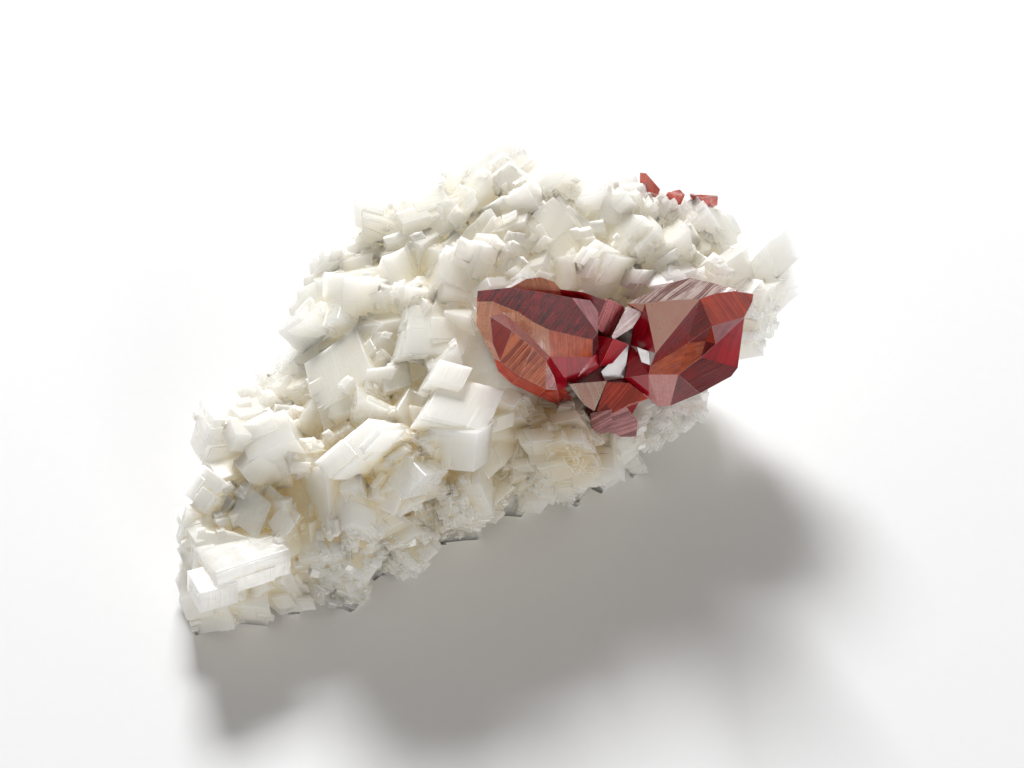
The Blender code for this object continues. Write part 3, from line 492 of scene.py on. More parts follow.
def crust_spots(core):
    """Where the crust's rhombs grow: (middle, edge, flattening, rotation), the same at each run."""
    rng = random.Random(CRUST_SEED)
    tree = BVHTree.FromBMesh(core)
    faces = [face for face in core.faces if face.normal.z > SIDE_DROP_LIMIT]
    areas = [face.calc_area() for face in faces]
    taken = [(placed(middle), edge * MM) for middle, edge, flattening, angles in LARGE_RHOMBS]
    spots = []
    for count, (least, greatest), spacing, depth in CRUST_SIZES:
        for _ in range(count):
            edge = rng.uniform(least, greatest)
            flattening = rng.uniform(0.65, 1.0)
            rotation = Euler([rng.uniform(-math.pi, math.pi) for _ in range(3)])
            for _ in range(CRUST_TRIES):
                face = rng.choices(faces, areas)[0]
                weights = [rng.random() for _ in face.verts]
                total = sum(weights)
                mixed = [vert.co * (w / total) for vert, w in zip(face.verts, weights)]
                point = sum(mixed, Vector())
                near, normal, _, _ = tree.find_nearest(point)
                middle = near - normal * (depth * edge * MM)
                clear = all(
                    (middle - other).length > spacing * (edge * MM + other_edge) / 2
                    for other, other_edge in taken
                )
                if clear and not in_cinnabar_room(middle):
                    taken.append((middle, edge * MM))
                    spots.append((middle, edge, flattening, rotation))
                    break
    return spots


def turned(angles):
    return Euler([math.radians(angle) for angle in angles])


def node(tree, kind, inputs=None, **settings):
    """A shader node with its settings, and its sockets either linked or given a value."""
    made = tree.nodes.new(kind)
    for name, value in settings.items():
        setattr(made, name, value)
    for name, value in (inputs or {}).items():
        if isinstance(value, bpy.types.NodeSocket):
            tree.links.new(value, made.inputs[name])
        else:
            made.inputs[name].default_value = value
    return made


def attribute(tree, name):
    return node(tree, "ShaderNodeAttribute", attribute_name=name)


def noise(tree, vector, scale, detail=2.0, roughness=0.5, stretch=None):
    """A noise value over a vector, which is first scaled along each axis."""
    if stretch:
        vector = node(tree, "ShaderNodeMapping", {"Vector": vector, "Scale": stretch}).outputs["Vector"]
    sockets = {"Vector": vector, "Scale": scale, "Detail": detail, "Roughness": roughness}
    return node(tree, "ShaderNodeTexNoise", sockets).outputs["Fac"]


def relief(tree, height, strength, distance, below=None):
    """A bump over another one, its distance in millimetres."""
    sockets = {"Height": height, "Strength": strength, "Distance": distance * MM}
    if below:
        sockets["Normal"] = below
    return node(tree, "ShaderNodeBump", sockets).outputs["Normal"]


def remap(tree, value, low, high, to_low=0.0, to_high=1.0):
    sockets = {"Value": value, "From Min": low, "From Max": high, "To Min": to_low, "To Max": to_high}
    return node(tree, "ShaderNodeMapRange", sockets).outputs["Result"]


def blend(tree, amount, first, second, mode="MIX"):
    made = node(tree, "ShaderNodeMix", data_type="RGBA", blend_type=mode)
    for socket, value in zip((made.inputs[0], made.inputs[6], made.inputs[7]), (amount, first, second)):
        if isinstance(value, bpy.types.NodeSocket):
            tree.links.new(value, socket)
        else:
            socket.default_value = value
    return made.outputs[2]


def arithmetic(tree, first, second, operation="MULTIPLY"):
    return node(tree, "ShaderNodeMath", {0: first, 1: second}, operation=operation).outputs[0]


def blank_material(name):
    made = bpy.data.materials.new(name)
    made.use_nodes = True
    return made, made.node_tree, made.node_tree.nodes["Principled BSDF"]


def dolomite_finish(settings):
    """Milky dolomite: pearly faces with fine growth lines, cream on the faces, painted tan shade in the
    hollows and towards the front, zones of painted shade, and a painted milk-white highlight on the chamfers.
    """
    made, tree, shader = blank_material("dolomite")
    lines = node(tree, "ShaderNodeUVMap", uv_map="growth").outputs["UV"]
    place = node(tree, "ShaderNodeTexCoord").outputs["Object"]
    tint = attribute(tree, "tint").outputs["Fac"]
    hollow = attribute(tree, "hollow").outputs["Fac"]
    along = noise(tree, lines, 1.0, 3.0, 0.6, (5.0, 0.10, 1.0))
    across = noise(tree, lines, 1.0, 3.0, 0.6, (0.10, 6.0, 1.0))
    patches = remap(tree, noise(tree, place, 380.0, 2.0), 0.42, 0.58)
    # Milk-white where the tint is below nought: a painted highlight on the chamfers, and the milky crust
    # patches' own white
    milky_and_highlit = remap(tree, tint, EDGE_HIGHLIGHT_TINT, 0.0, 1.0, 0.0)
    speck = remap(tree, tint, 1.2, 1.8)
    ridges = blend(tree, patches, along, across)
    mottle = noise(tree, place, 900.0, 4.0, 0.6)
    clouds = noise(tree, place, 210.0, 3.0)
    cream = blend(tree, remap(tree, clouds, 0.35, 0.65), (*settings.cream, 1.0), (*settings.milk, 1.0))
    cream = blend(tree, remap(tree, tint, 0.0, 1.0, 0.0, 0.45), cream, (*settings.shaded, 1.0))
    front = node(tree, "ShaderNodeSeparateXYZ", {"Vector": place}).outputs["Y"]
    # Painted shade: the hollows turn tan, more so towards the front, which the window behind does not light
    hollow_shade = remap(tree, hollow, 0.35, 1.0, 0.0, 0.95)
    hollow_shade = arithmetic(tree, hollow_shade, remap(tree, front, 0.0, -0.012, 0.2, 1.0))
    colour = blend(tree, hollow_shade, cream, (*settings.tan_shade, 1.0))
    colour = blend(tree, remap(tree, ridges, 0.25, 0.75, 0.16, 0.0), colour, (*settings.tan_shade, 1.0))
    # Painted shade in the zones listed above, and the other tints
    for middle, reach, shade in SHADE_AND_TINT_ZONES:
        away = node(tree, "ShaderNodeVectorMath", {0: place, 1: sighted(middle)}, operation="DISTANCE")
        near = remap(tree, away.outputs["Value"], reach * MM, 0.5 * reach * MM)
        near = arithmetic(tree, near, remap(tree, clouds, 0.3, 0.6, 0.4, 1.0))
        colour = blend(tree, near, colour, (*shade, 1.0))
    # Painted milk-white highlight on the chamfers, and the milky crust
    colour = blend(tree, milky_and_highlit, colour, (*settings.milk, 1.0))
    colour = blend(tree, speck, colour, SPECK_COLOUR)
    tree.links.new(colour, shader.inputs["Base Color"])
    dull = remap(tree, arithmetic(tree, tint, mottle, "ADD"), 0.4, 1.4, 0.22, 0.55)
    tree.links.new(dull, shader.inputs["Roughness"])
    steps = relief(tree, ridges, 0.8, 0.06, relief(tree, mottle, 0.35, 0.03))
    tree.links.new(steps, shader.inputs["Normal"])
    shader.inputs["IOR"].default_value = DOLOMITE_REFRACTION
    shader.inputs["Subsurface Weight"].default_value = DOLOMITE_SUBSURFACE
    shader.inputs["Subsurface Radius"].default_value = (1.0, 1.0, 1.0)
    shader.inputs["Subsurface Scale"].default_value = settings.translucency
    return made


def cinnabar_finish(settings):
    """See-through red cinnabar, with each facet's tone, which paints its light and shade, and growth lines.
    """
    made, tree, shader = blank_material("cinnabar")
    lines = node(tree, "ShaderNodeUVMap", uv_map="growth").outputs["UV"]
    place = node(tree, "ShaderNodeTexCoord").outputs["Object"]
    tone = attribute(tree, "tone").outputs["Color"]
    line_tone = attribute(tree, "line_tone").outputs["Color"]
    strength = attribute(tree, "line_strength").outputs["Fac"]
    dullness = attribute(tree, "dullness").outputs["Fac"]
    coarse = noise(tree, lines, 1.0, 2.0, 0.7, (1.0, 0.012, 1.0))
    fine = noise(tree, lines, 1.0, 3.0, 0.8, (4.5, 0.03, 1.0))
    broken = noise(tree, lines, 1.0, 2.0, 0.6, (0.5, 0.22, 1.0))
    coarse = remap(tree, coarse, 0.42, 0.58, 0.1, 0.7)
    drawn = arithmetic(tree, coarse, remap(tree, fine, 0.47, 0.53, -0.35, 0.5), "ADD")
    drawn = arithmetic(tree, drawn, remap(tree, broken, 0.38, 0.62, -0.35, 0.25), "ADD")
    drawn = arithmetic(tree, remap(tree, drawn, 0.15, 0.7), strength)
    patches = noise(tree, place, 700.0, 4.0, 0.65)
    # Each facet's tone holds its painted highlights, reflections, glow and shade
    colour = blend(tree, drawn, tone, line_tone)
    colour = blend(tree, remap(tree, patches, 0.45, 0.75, 0.0, 0.35), colour, line_tone)
    tree.links.new(colour, shader.inputs["Base Color"])
    roughness = arithmetic(tree, dullness, remap(tree, patches, 0.3, 0.7, 0.7, 1.3))
    tree.links.new(roughness, shader.inputs["Roughness"])
    steps = relief(tree, fine, 0.7, 0.04, relief(tree, patches, 0.25, 0.03))
    tree.links.new(steps, shader.inputs["Normal"])
    shader.inputs["IOR"].default_value = settings.refraction
    shader.inputs["Specular IOR Level"].default_value = CINNABAR_GLOSS
    shader.inputs["Transmission Weight"].default_value = settings.clearness
    sockets = {"Color": (*settings.depth_colour, 1.0), "Density": settings.depth}
    depth = node(tree, "ShaderNodeVolumeAbsorption", sockets)
    tree.links.new(depth.outputs["Volume"], tree.nodes["Material Output"].inputs["Volume"])
    return made


def paper_finish(colour):
    """Matt white paper, with faint fibres."""
    made, tree, shader = blank_material("paper")
    place = node(tree, "ShaderNodeTexCoord").outputs["Object"]
    fibres = noise(tree, place, 900.0, 4.0)
    shade = blend(tree, remap(tree, fibres, 0.3, 0.7, 0.0, 0.03), (*colour, 1.0), (0.6, 0.6, 0.6, 1.0))
    tree.links.new(shade, shader.inputs["Base Color"])
    shader.inputs["Roughness"].default_value = 0.9
    return made


def object_of(bm, name, finish, collection=None):
    mesh = bpy.data.meshes.new(name)
    bm.to_mesh(mesh)
    bm.free()
    if finish:
        mesh.materials.append(finish)
    made = bpy.data.objects.new(name, mesh)
    (collection or bpy.context.scene.collection).objects.link(made)
    return made


def rhomb_frame(middle, edge, flattening, rotation):
    """Turns the unit cube into a rhomb about a middle in metres, its edges in millimetres."""
    a, b, c = rhomb_edges()
    columns = (a * edge * MM, b * edge * MM, c * edge * flattening * MM)
    shape = Matrix(columns).transposed()
    return Matrix.Translation(middle) @ (rotation.to_matrix() @ shape).to_4x4()


def add_block(bm, rhomb, middle, size, look, growth):
    """One block of a crystal, in the crystal's own unit cube: bent, chamfered with a painted milk-white
    highlight on the chamfers, and marked for its finish.
    """
    cuts, bend, chamfer = look
    edge, flattening, tint, shift = growth
    placing = Matrix.Translation(middle) @ Matrix.Diagonal((*size, 1.0))
    block = bmesh.ops.create_cube(bm, size=1.0, matrix=placing)
    edges = list({e for vert in block["verts"] for e in vert.link_edges})
    if cuts:
        bmesh.ops.subdivide_edges(bm, edges=edges, cuts=cuts, use_grid_fill=True)
    uv = bm.loops.layers.uv["growth"]
    tints = bm.faces.layers.float["tint"]
    spans = (edge, edge, edge * flattening)
    bm.normal_update()
    for face in bm.faces:
        face[tints] = tint
        out = max(range(3), key=lambda axis: abs(face.normal[axis]))
        one, other = [axis for axis in range(3) if axis != out]
        for loop in face.loops:
            place = loop.vert.co
            loop[uv].uv = (place[one] * spans[one] + shift + out * 7, place[other] * spans[other] + shift)
    if chamfer:
        sharp = [e for e in bm.edges if e.calc_face_angle(0.0) > 0.5]
        milky_and_highlit = bmesh.ops.bevel(bm, geom=sharp, offset=chamfer / edge, offset_type="OFFSET", segments=1,
                               profile=0.5, affect="EDGES", material=-1, clamp_overlap=True)
        for face in milky_and_highlit["faces"]:
            # Painted highlight: the chamfers take the milk-white tint
            face[tints] = min(tint, EDGE_HIGHLIGHT_TINT) if tint < 1 else tint
    for vert in bm.verts:
        x, y, z = vert.co
        vert.co += bend * Vector((y * y - z * z, z * z - x * x, x * x - y * y))
    bmesh.ops.transform(bm, matrix=rhomb, verts=bm.verts)
    if rhomb.determinant() < 0:
        bmesh.ops.reverse_faces(bm, faces=bm.faces)


def marked(bm):
    """Gives a mesh the layers that the dolomite's finish reads."""
    bm.loops.layers.uv.new("growth")
    bm.faces.layers.float.new("tint")
    return bm


def grow_crystal(spot, rng, quality, settings, finish, collection):
    """One rhomb with the plates that stand a little out of its faces, each as a closed block of its own."""
    middle, edge, flattening, rotation = spot[:4]
    cuts, plates, plate_cuts = quality
    rhomb = rhomb_frame(middle, edge, flattening, rotation)
    bend = settings.bend * rng.uniform(0.4, 1.3)
    tint = rng.random() if len(spot) == 4 or spot[4] is None else spot[4]
    growth = (edge, flattening, tint, rng.uniform(0.0, 40.0))
    bm = marked(bmesh.new())
    add_block(bm, rhomb, (0, 0, 0), (1, 1, 1), (cuts, bend, settings.chamfer), growth)
    object_of(bm, "block", finish, collection)
    for _ in range(plates):
        axis, side = rng.randrange(3), rng.choice((-1, 1))
        height = max(0.15, rng.random() ** 2) * settings.step / edge
        size = [rng.uniform(0.22, 0.85) for _ in range(3)]
        size[axis] = 0.5 + height
        place = [rng.choice((-1, 1, rng.uniform(-1, 1))) * (0.5 - span / 2 + 0.4 * height) for span in size]
        place[axis] = side * (0.5 + height) / 2
        growth = (edge, flattening, min(1.0, max(0.0, tint + rng.uniform(-0.25, 0.25))), growth[3])
        bm = marked(bmesh.new())
        add_block(bm, rhomb, place, size, (plate_cuts, bend, settings.chamfer * 0.7), growth)
        object_of(bm, "plate", finish, collection)


def union_all(obj, collection):
    """Joins every block of a collection to an object in one closed skin."""
    combine(obj, "UNION", collection=collection)
    for block in list(collection.objects):
        mesh = block.data
        bpy.data.objects.remove(block, do_unlink=True)
        bpy.data.meshes.remove(mesh)


def combine(obj, operation, other=None, collection=None):
    modifier = obj.modifiers.new("joined", "BOOLEAN")
    modifier.operation = operation
    modifier.solver = "MANIFOLD"
    if collection:
        modifier.operand_type = "COLLECTION"
        modifier.collection = collection
    else:
        modifier.object = other
    graph = bpy.context.evaluated_depsgraph_get()
    result = bpy.data.meshes.new_from_object(obj.evaluated_get(graph))
    obj.modifiers.clear()
    old = obj.data
    obj.data = result
    bpy.data.meshes.remove(old)
    if other:
        bpy.data.objects.remove(other, do_unlink=True)
    if not result.polygons:
        raise RuntimeError("the crystals did not join")


def keep_skin(obj):
    """Leaves the largest connected skin, without loose grains and the voids that the crystals closed in."""
    bm = bmesh.new()
    bm.from_mesh(obj.data)
    left = set(bm.verts)
    skins = []
    while left:
        skin = [left.pop()]
        for vert in skin:
            for edge in vert.link_edges:
                other = edge.other_vert(vert)
                if other in left:
                    left.discard(other)
                    skin.append(other)
        skins.append(skin)
    skins.sort(key=len)
    bmesh.ops.delete(bm, geom=[vert for skin in skins[:-1] for vert in skin], context="VERTS")
    bm.to_mesh(obj.data)
    bm.free()


def working_copy(mesh):
    """A copy of a mesh in triangles to work on, and a tree to look places up in."""
    bm = bmesh.new()
    bm.from_mesh(mesh)
    bm.normal_update()
    bmesh.ops.triangulate(bm, faces=bm.faces)
    return bm, BVHTree.FromBMesh(bm)


def point_on(face, rng):
    weights = [rng.random() for _ in face.verts]
    return sum((vert.co * w for vert, w in zip(face.verts, weights)), Vector()) / sum(weights)


def hollow_at(tree, point, normal, rays, reach):
    """The part of a point's sky that the specimen itself hides within reach."""
    start = point + normal * 0.02 * MM
    out = [ray if ray.dot(normal) > 0 else -ray for ray in rays]
    return sum(tree.ray_cast(start, ray, reach)[0] is not None for ray in out) / len(out)


def even_rays(count):
    rng = random.Random(5)
    rays = []
    while len(rays) < count:
        ray = Vector([rng.uniform(-1, 1) for _ in range(3)])
        if 0.2 < ray.length < 1:
            rays.append(ray.normalized())
    return rays


def as_seen(point):
    """Where a point is seen, in millimetres across and up in the plane of the sight point."""
    rise, nearer = sight_axes()
    offset = (point - placed(SIGHT_POINT)) / MM
    scale = SIGHT_DISTANCE / (SIGHT_DISTANCE - offset.dot(nearer))
    return Vector((offset.x, offset.dot(rise))) * scale


def inside_box(point, edge):
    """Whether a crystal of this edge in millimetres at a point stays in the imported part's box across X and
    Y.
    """
    low, high = CAD_BOX
    reach = 0.45 * edge * MM
    return all(low[axis] + reach < point[axis] < high[axis] - reach for axis in (0, 1))


def patch_spots(mesh, patch, hosts, rng):
    """Where the small crystals of one patch grow, on the faces that are seen there."""
    across, up, reach, count, least, greatest, tint = patch
    bm, tree = working_copy(mesh)
    nearer = sight_axes()[1]
    middle = Vector((across, up))
    faces = [face for face in bm.faces if face.normal.dot(nearer) > 0.1
             and (as_seen(face.calc_center_median()) - middle).length < reach + 1.5]
    areas = [face.calc_area() for face in faces]
    spots = []
    for face in rng.choices(faces, areas, k=count * 6):
        if len(spots) == count:
            break
        point = point_on(face, rng)
        hidden = tree.ray_cast(point + face.normal * 0.05 * MM, nearer)[0]
        if hidden or (as_seen(point) - middle).length > reach * rng.uniform(0.5, 1.0):
            continue
        edge = rng.uniform(least, greatest)
        if not inside_box(point, edge):
            continue
        rotation = grown_rotation(point, hosts, rng)
        middle_point = point + face.normal * rng.uniform(-0.25, 0.15) * edge * MM
        spots.append((middle_point, edge, rng.uniform(0.4, 1.0), rotation, tint))
    bm.free()
    return spots


def grown_rotation(point, hosts, rng):
    """Most small crystals are parallel to the large one that they grow on."""
    if rng.random() > PARALLEL_SHARE:
        return Euler([rng.uniform(-math.pi, math.pi) for _ in range(3)])
    host = min(hosts, key=lambda one: (one[0] - point).length / one[1])
    jitter = Euler([math.radians(rng.gauss(0.0, 7.0)) for _ in range(3)]).to_matrix()
    return (jitter @ host[3].to_matrix()).to_euler()


def fine_spots(mesh, sizes, count, least_hollow, hosts, rng):
    """Where small crystals grow on what is there: (middle, edge, flattening, rotation)."""
    bm, tree = working_copy(mesh)
    faces = [face for face in bm.faces if face.calc_center_median().z > 0.3 * MM and face.normal.z > -0.85]
    areas = [face.calc_area() for face in faces]
    rays = even_rays(8)
    spots = []
    for face in rng.choices(faces, areas, k=count * 4):
        if len(spots) == count:
            break
        point = point_on(face, rng)
        edge = rng.uniform(*sizes)
        if not inside_box(point, edge):
            continue
        if in_cinnabar_room(point + face.normal * edge * MM) and edge > 1.3:
            continue
        open_place = hollow_at(tree, point, face.normal, rays, FINE_HOLLOW_REACH * MM) < least_hollow
        if open_place and point.z > 2.5 * MM:
            continue
        middle = point + face.normal * rng.uniform(-0.44, -0.06) * edge * MM
        spots.append((middle, edge, rng.uniform(0.3, 1.0), grown_rotation(point, hosts, rng)))
    bm.free()
    return spots


def mark_hollows(mesh, reach):
    """Writes how far each point lies in a hollow, which the dolomite's finish paints with shade."""
    bm = bmesh.new()
    bm.from_mesh(mesh)
    bm.normal_update()
    tree = BVHTree.FromBMesh(bm)
    rays = even_rays(12)
    values = [hollow_at(tree, vert.co, vert.normal, rays, reach) for vert in bm.verts]
    bm.free()
    made = mesh.attributes.new("hollow", "FLOAT", "POINT")
    made.data.foreach_set("value", values)


def marked_crystal():
    bm = bmesh.new()
    bm.faces.layers.int.new("facet")
    return bm


def sight_axes():
    """The upward and the nearer direction, as the specimen is looked at."""
    tilt = math.radians(SIGHT_ELEVATION)
    return Vector((0.0, math.sin(tilt), math.cos(tilt))), Vector((0.0, -math.cos(tilt), math.sin(tilt)))


def sighted(corner):
    """A corner measured along the line of sight, in metres in the specimen's frame."""
    across, up, towards = corner
    rise, nearer = sight_axes()
    return placed(Vector(SIGHT_POINT) + Vector((across, 0.0, 0.0)) + rise * up + nearer * towards)


def wing(shape, looks):
    """One wing of the twin, each facet marked with its place in the list of looks."""
    bm = marked_crystal()
    mark = bm.faces.layers.int["facet"]
    verts = {name: bm.verts.new(sighted(corner)) for name, corner in shape["corners"].items()}
    for tone, angle, corners in shape["facets"]:
        face = bm.faces.new([verts[name] for name in corners.split(", ")])
        face[mark] = len(looks)
        looks.append((tone, angle))
    root = bm.verts.new(sighted(shape["root"]))
    edge = [verts[name] for name in shape["open edge"].split(", ")]
    for one, other in zip(edge, edge[1:] + edge[:1]):
        bm.faces.new((one, other, root))
    bmesh.ops.triangulate(bm, faces=[face for face in bm.faces if len(face.verts) > 3])
    bmesh.ops.recalc_face_normals(bm, faces=bm.faces)
    return bm


def hull(points, front, look):
    """The flat-faced solid over these points. Faces between the first few of them have a look."""
    bm = marked_crystal()
    mark = bm.faces.layers.int["facet"]
    verts = [bm.verts.new(point) for point in points]
    shown = set(verts[:front])
    made = bmesh.ops.convex_hull(bm, input=bm.verts)
    inside = [part for part in {*made["geom_interior"], *made["geom_unused"]}
              if isinstance(part, bmesh.types.BMVert)]
    bmesh.ops.delete(bm, geom=inside, context="VERTS")
    for face in bm.faces:
        if shown.issuperset(face.verts):
            face[mark] = look
    bmesh.ops.recalc_face_normals(bm, faces=bm.faces)
    return bm


def small_crystal(depth, front, look):
    middle = sum((Vector(corner) for corner in front), Vector()) / len(front)
    root = [Vector(corner).lerp(middle, 1 - TAPER) - Vector((0.0, 0.0, depth)) for corner in front]
    return hull([sighted(corner) for corner in (*front, *root)], len(front), look)


def line_slope(normal, angle):
    """The direction in a facet that is seen to run at this angle from the horizontal."""
    rise, nearer = sight_axes()
    drawn = Vector((math.cos(math.radians(angle)), 0.0, 0.0)) + rise * math.sin(math.radians(angle))
    facing = normal.dot(nearer)
    if abs(facing) > 0.12:
        drawn -= nearer * (drawn.dot(normal) / facing)
    else:
        drawn -= normal * drawn.dot(normal)
    return drawn.normalized()


def finish_facets(bm, looks, width):
    """Gives each facet its tone with its painted light and shade, its growth lines and its dullness, and
    paints a highlight on its bevelled edges.
    """
    mark = bm.faces.layers.int["facet"]
    uv = bm.loops.layers.uv.new("growth")
    tone = bm.faces.layers.float_color.new("tone")
    line_tone = bm.faces.layers.float_color.new("line_tone")
    strength = bm.faces.layers.float.new("line_strength")
    dullness = bm.faces.layers.float.new("dullness")
    bmesh.ops.remove_doubles(bm, verts=bm.verts, dist=0.01 * MM)
    bm.normal_update()
    normals = {}
    for face in bm.faces:
        normals.setdefault(face[mark], Vector()).__iadd__(face.normal * face.calc_area())
    for face in bm.faces:
        name, angle = looks[face[mark]]
        colour, line_colour, amount, lines, dull = TONES[name]
        # The tone paints the facet's light and shade over the red
        face[tone] = (*colour, 1.0)
        face[line_tone] = (*line_colour, 1.0)
        face[strength] = amount
        face[dullness] = dull
        normal = normals[face[mark]].normalized() if face[mark] else face.normal
        slope = line_slope(normal, angle)
        sideways = normal.cross(slope)
        face.smooth = True
        for loop in face.loops:
            place = loop.vert.co / MM
            loop[uv].uv = (place.dot(sideways) * lines, place.dot(slope) * lines)
    sharp = []
    for edge in bm.edges:
        one, other = edge.link_faces[0], edge.link_faces[-1]
        same = one[mark] == other[mark] and one[mark] > 0
        edge.smooth = same and edge.calc_face_angle(0.0) < math.radians(30)
        if not edge.smooth and edge.is_convex and edge.calc_face_angle(0.0) > math.radians(8):
            sharp.append(edge)
    milky_and_highlit = bmesh.ops.bevel(bm, geom=sharp, offset=width * MM, offset_type="OFFSET", segments=1, profile=0.5,
                           affect="EDGES", material=-1, clamp_overlap=True)
    for face in milky_and_highlit["faces"]:
        # Painted highlight on the bevelled edges
        face[tone] = Vector(face[tone]).lerp(Vector(CINNABAR_EDGE_HIGHLIGHT), 0.75)
        face[strength] = 0.0


def seat_for(crystal, gap):
    """The room that a cinnabar crystal needs in the dolomite."""
    bm = crystal.copy()
    bm.normal_update()
    moves = [(vert, vert.normal * gap * MM) for vert in bm.verts]
    for vert, move in moves:
        vert.co += move
    return marked(bm)


def twin_crystal():
    """The twin's crystals grown together, and the looks that their facets are marked with."""
    looks = [("side", 90)]
    blocks = bpy.data.collections.new("twin")
    twin = object_of(wing(LEFT_WING, looks), "twin", None)
    object_of(wing(RIGHT_WING, looks), "block", None, blocks)
    for tone, angle, depth, front in SMALL_CRYSTALS:
        looks.append((tone, angle))
        object_of(small_crystal(depth, front, len(looks) - 1), "block", None, blocks)
    union_all(twin, blocks)
    bm = bmesh.new()
    bm.from_mesh(twin.data)
    bpy.data.objects.remove(twin, do_unlink=True)
    return bm, looks


def cinnabar_crystals():
    """Each cinnabar node's name with its crystal and its looks."""
    yield ("cinnabar_twin", *twin_crystal())
    looks = [("side", 90), ("vermilion", 70)]
    for name, corners in REAR_CRYSTALS.items():
        yield name, hull([placed(corner) for corner in corners], len(corners), 1), looks


class DolomiteSettings(PropertyGroup):
    bend: FloatProperty(name="Saddle", description="How far a rhomb's faces bend, as a part of its edge",
                        default=0.08)
    step: FloatProperty(name="Step", description="Greatest height of a growth plate in millimetres",
                        default=0.42)
    chamfer: FloatProperty(name="Chamfer", description="Width of a worn edge in millimetres", default=0.05)
    translucency: FloatProperty(name="Translucency", description="How far light spreads inside",
                                default=0.011, unit="LENGTH", precision=5)
    cream: FloatVectorProperty(name="Cream", description="Colour of most faces", subtype="COLOR",
                               default=(0.925, 0.888, 0.785))
    # Milk is also the colour of the painted highlight on the chamfers
    milk: FloatVectorProperty(name="Milk", description="Colour of the whitest zones", subtype="COLOR",
                              default=(0.955, 0.938, 0.875))
    shaded: FloatVectorProperty(name="Grey cream", description="Colour of the greyest crystals",
                                subtype="COLOR", default=(0.88, 0.83, 0.70))
    # The tan of the painted shade in the hollows, also used for the growth lines
    tan_shade: FloatVectorProperty(name="Painted shade", description="Colour in the hollows", subtype="COLOR",
                               default=(0.86, 0.71, 0.46))


class CinnabarSettings(PropertyGroup):
    chamfer: FloatProperty(name="Chamfer", description="Width of a facet's edge in millimetres", default=0.08)
    refraction: FloatProperty(name="Refraction", description="Index of refraction", default=2.2)
    clearness: FloatProperty(name="Clearness", description="Part of the light that goes through",
                             default=0.36)
    depth: FloatProperty(name="Depth", description="Absorption density in 1/m", default=750.0)
    depth_colour: FloatVectorProperty(name="Depth colour", description="Colour that deep crystal keeps",
                                      subtype="COLOR", default=(0.97, 0.12, 0.08))


class StageSettings(PropertyGroup):
    paper: FloatVectorProperty(name="Paper", description="Colour of the floor", subtype="COLOR",
                               default=(0.90, 0.90, 0.91))
    key: FloatProperty(name="Window", description="Power of the large soft light", default=9.9, unit="POWER")
    front: FloatProperty(name="Front light", description="Power of the weaker light in front", default=2.8,
                         unit="POWER")
    fill: FloatProperty(name="Room light", description="Strength of the light from all round", default=0.26)


class SPECIMEN_OT_grow_dolomite(Operator):
    """Grow the dolomite crystals over the massive core"""

    bl_idname = "specimen.grow_dolomite"
    bl_label = "Grow dolomite"

    def execute(self, context):
        settings = context.scene.dolomite_settings
        finish = dolomite_finish(settings)
        blocks = bpy.data.collections.new("blocks")
        core = marked(core_mesh())
        crust = crust_spots(core)
        dolomite = object_of(core, "dolomite_crystals", finish)
        rng = random.Random(FINE_SEED)
        large = [(placed(middle), *size, turned(angles)) for middle, *size, angles in LARGE_RHOMBS]
        for spots, quality in ((large, LARGE_QUALITY), (crust, CRUST_QUALITY)):
            for spot in spots:
                grow_crystal(spot, rng, quality, settings, finish, blocks)
        union_all(dolomite, blocks)
        for least, greatest, count, hollow in FINE_SIZES:
            for spot in fine_spots(dolomite.data, (least, greatest), count, hollow, large + crust, rng):
                grow_crystal(spot, rng, FINE_QUALITY, settings, finish, blocks)
            union_all(dolomite, blocks)
        for patch in PATCHES:
            for spot in patch_spots(dolomite.data, patch, large + crust, rng):
                grow_crystal(spot, rng, FINE_QUALITY, settings, finish, blocks)
        union_all(dolomite, blocks)
        for _, crystal, _ in cinnabar_crystals():
            combine(dolomite, "DIFFERENCE", object_of(seat_for(crystal, SEAT_GAP), "seat", finish))
            crystal.free()
        ground = marked(bmesh.new())
        depth = Matrix.Translation((0.0, 0.0, -0.01)) @ Matrix.Diagonal((0.2, 0.2, 0.02, 1.0))
        bmesh.ops.create_cube(ground, size=1.0, matrix=depth)
        combine(dolomite, "DIFFERENCE", object_of(ground, "ground", finish))
        keep_skin(dolomite)
        mark_hollows(dolomite.data, HOLLOW_REACH * MM)
        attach(dolomite, "root")
        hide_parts("dolomite_matrix")
        return {"FINISHED"}


class SPECIMEN_OT_cut_cinnabar(Operator):
    """Finish the cinnabar twin and the small cinnabar crystals on the rear rim"""

    bl_idname = "specimen.cut_cinnabar"
    bl_label = "Finish cinnabar"

    def execute(self, context):
        settings = context.scene.cinnabar_settings
        finish = cinnabar_finish(settings)
        for name, bm, looks in cinnabar_crystals():
            finish_facets(bm, looks, settings.chamfer)
            crystal = object_of(bm, name + "_crystal", finish)
            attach(crystal, "root")
            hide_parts(name)
        return {"FINISHED"}


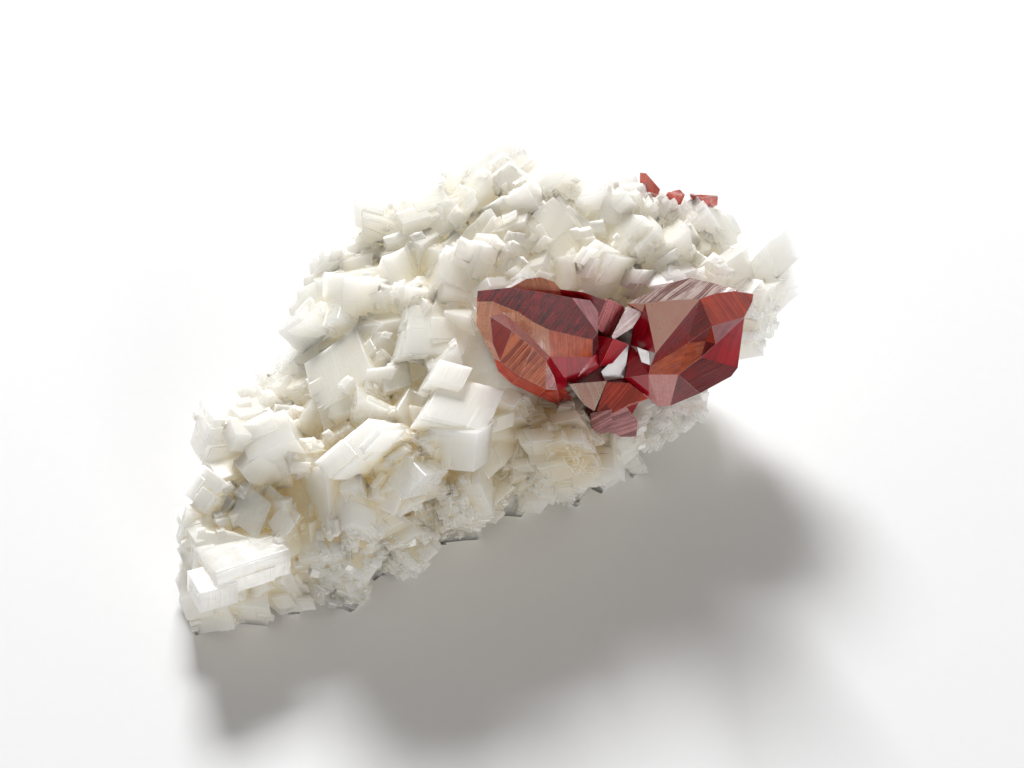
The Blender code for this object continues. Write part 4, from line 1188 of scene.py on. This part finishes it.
class SPECIMEN_OT_set_stage(Operator):
    """Lay the paper, hang the lights and stand the camera where the specimen is looked at"""

    bl_idname = "specimen.set_stage"
    bl_label = "Set stage"

    def execute(self, context):
        settings = context.scene.stage_settings
        scene = context.scene
        bm = bmesh.new()
        bmesh.ops.create_grid(bm, x_segments=1, y_segments=1, size=1.5)
        floor = object_of(bm, "paper", paper_finish(settings.paper))
        for name, size, place in LIGHTS:
            light = bpy.data.lights.new(name, "AREA")
            light.energy = getattr(settings, name)
            light.shape = "RECTANGLE"
            light.size, light.size_y = size
            light.color = LIGHT_COLOUR
            lamp = bpy.data.objects.new(name, light)
            lamp.location = place
            lamp.rotation_euler = (Vector(LIT_POINT) - lamp.location).to_track_quat("-Z", "Y").to_euler()
            scene.collection.objects.link(lamp)
        world = bpy.data.worlds.new("room")
        world.use_nodes = True
        background = world.node_tree.nodes["Background"]
        background.inputs["Color"].default_value = ROOM_COLOUR
        background.inputs["Strength"].default_value = settings.fill
        scene.world = world
        camera = bpy.data.objects.new("camera", bpy.data.cameras.new("camera"))
        camera.data.lens = CAMERA_LENS
        camera.data.clip_start = 0.001
        camera.location = Vector(CAMERA_PLACE) * MM
        camera.rotation_euler = (math.radians(90 - SIGHT_ELEVATION), 0.0, 0.0)
        scene.collection.objects.link(camera)
        scene.camera = camera
        scene.view_settings.view_transform = "Standard"
        return {"FINISHED"}


class SPECIMEN_PT_panel(Panel):
    """Shows each step's settings and its button"""

    bl_idname = "SPECIMEN_PT_panel"
    bl_label = "Cinnabar on matrix"
    bl_space_type = "VIEW_3D"
    bl_region_type = "UI"
    bl_category = "Specimen"

    def draw(self, context):
        layout = self.layout
        for settings, operator in STEPS:
            box = layout.box()
            group = getattr(context.scene, settings)
            for name in group.__annotations__:
                box.prop(group, name)
            box.operator(operator)


STEPS = (
    ("dolomite_settings", "specimen.grow_dolomite"),
    ("cinnabar_settings", "specimen.cut_cinnabar"),
    ("stage_settings", "specimen.set_stage"),
)
GROUPS = (("dolomite_settings", DolomiteSettings), ("cinnabar_settings", CinnabarSettings),
          ("stage_settings", StageSettings))
CLASSES = (SPECIMEN_OT_grow_dolomite, SPECIMEN_OT_cut_cinnabar, SPECIMEN_OT_set_stage, SPECIMEN_PT_panel)


def register():
    for name, group in GROUPS:
        bpy.utils.register_class(group)
        setattr(bpy.types.Scene, name, PointerProperty(type=group))
    for one in CLASSES:
        bpy.utils.register_class(one)


def unregister():
    for one in reversed(CLASSES):
        bpy.utils.unregister_class(one)
    for name, group in reversed(GROUPS):
        delattr(bpy.types.Scene, name)
        bpy.utils.unregister_class(group)


def main():
    register()
    bpy.ops.specimen.grow_dolomite()
    bpy.ops.specimen.cut_cinnabar()
    bpy.ops.specimen.set_stage()


if __name__ == "__main__":
    main()
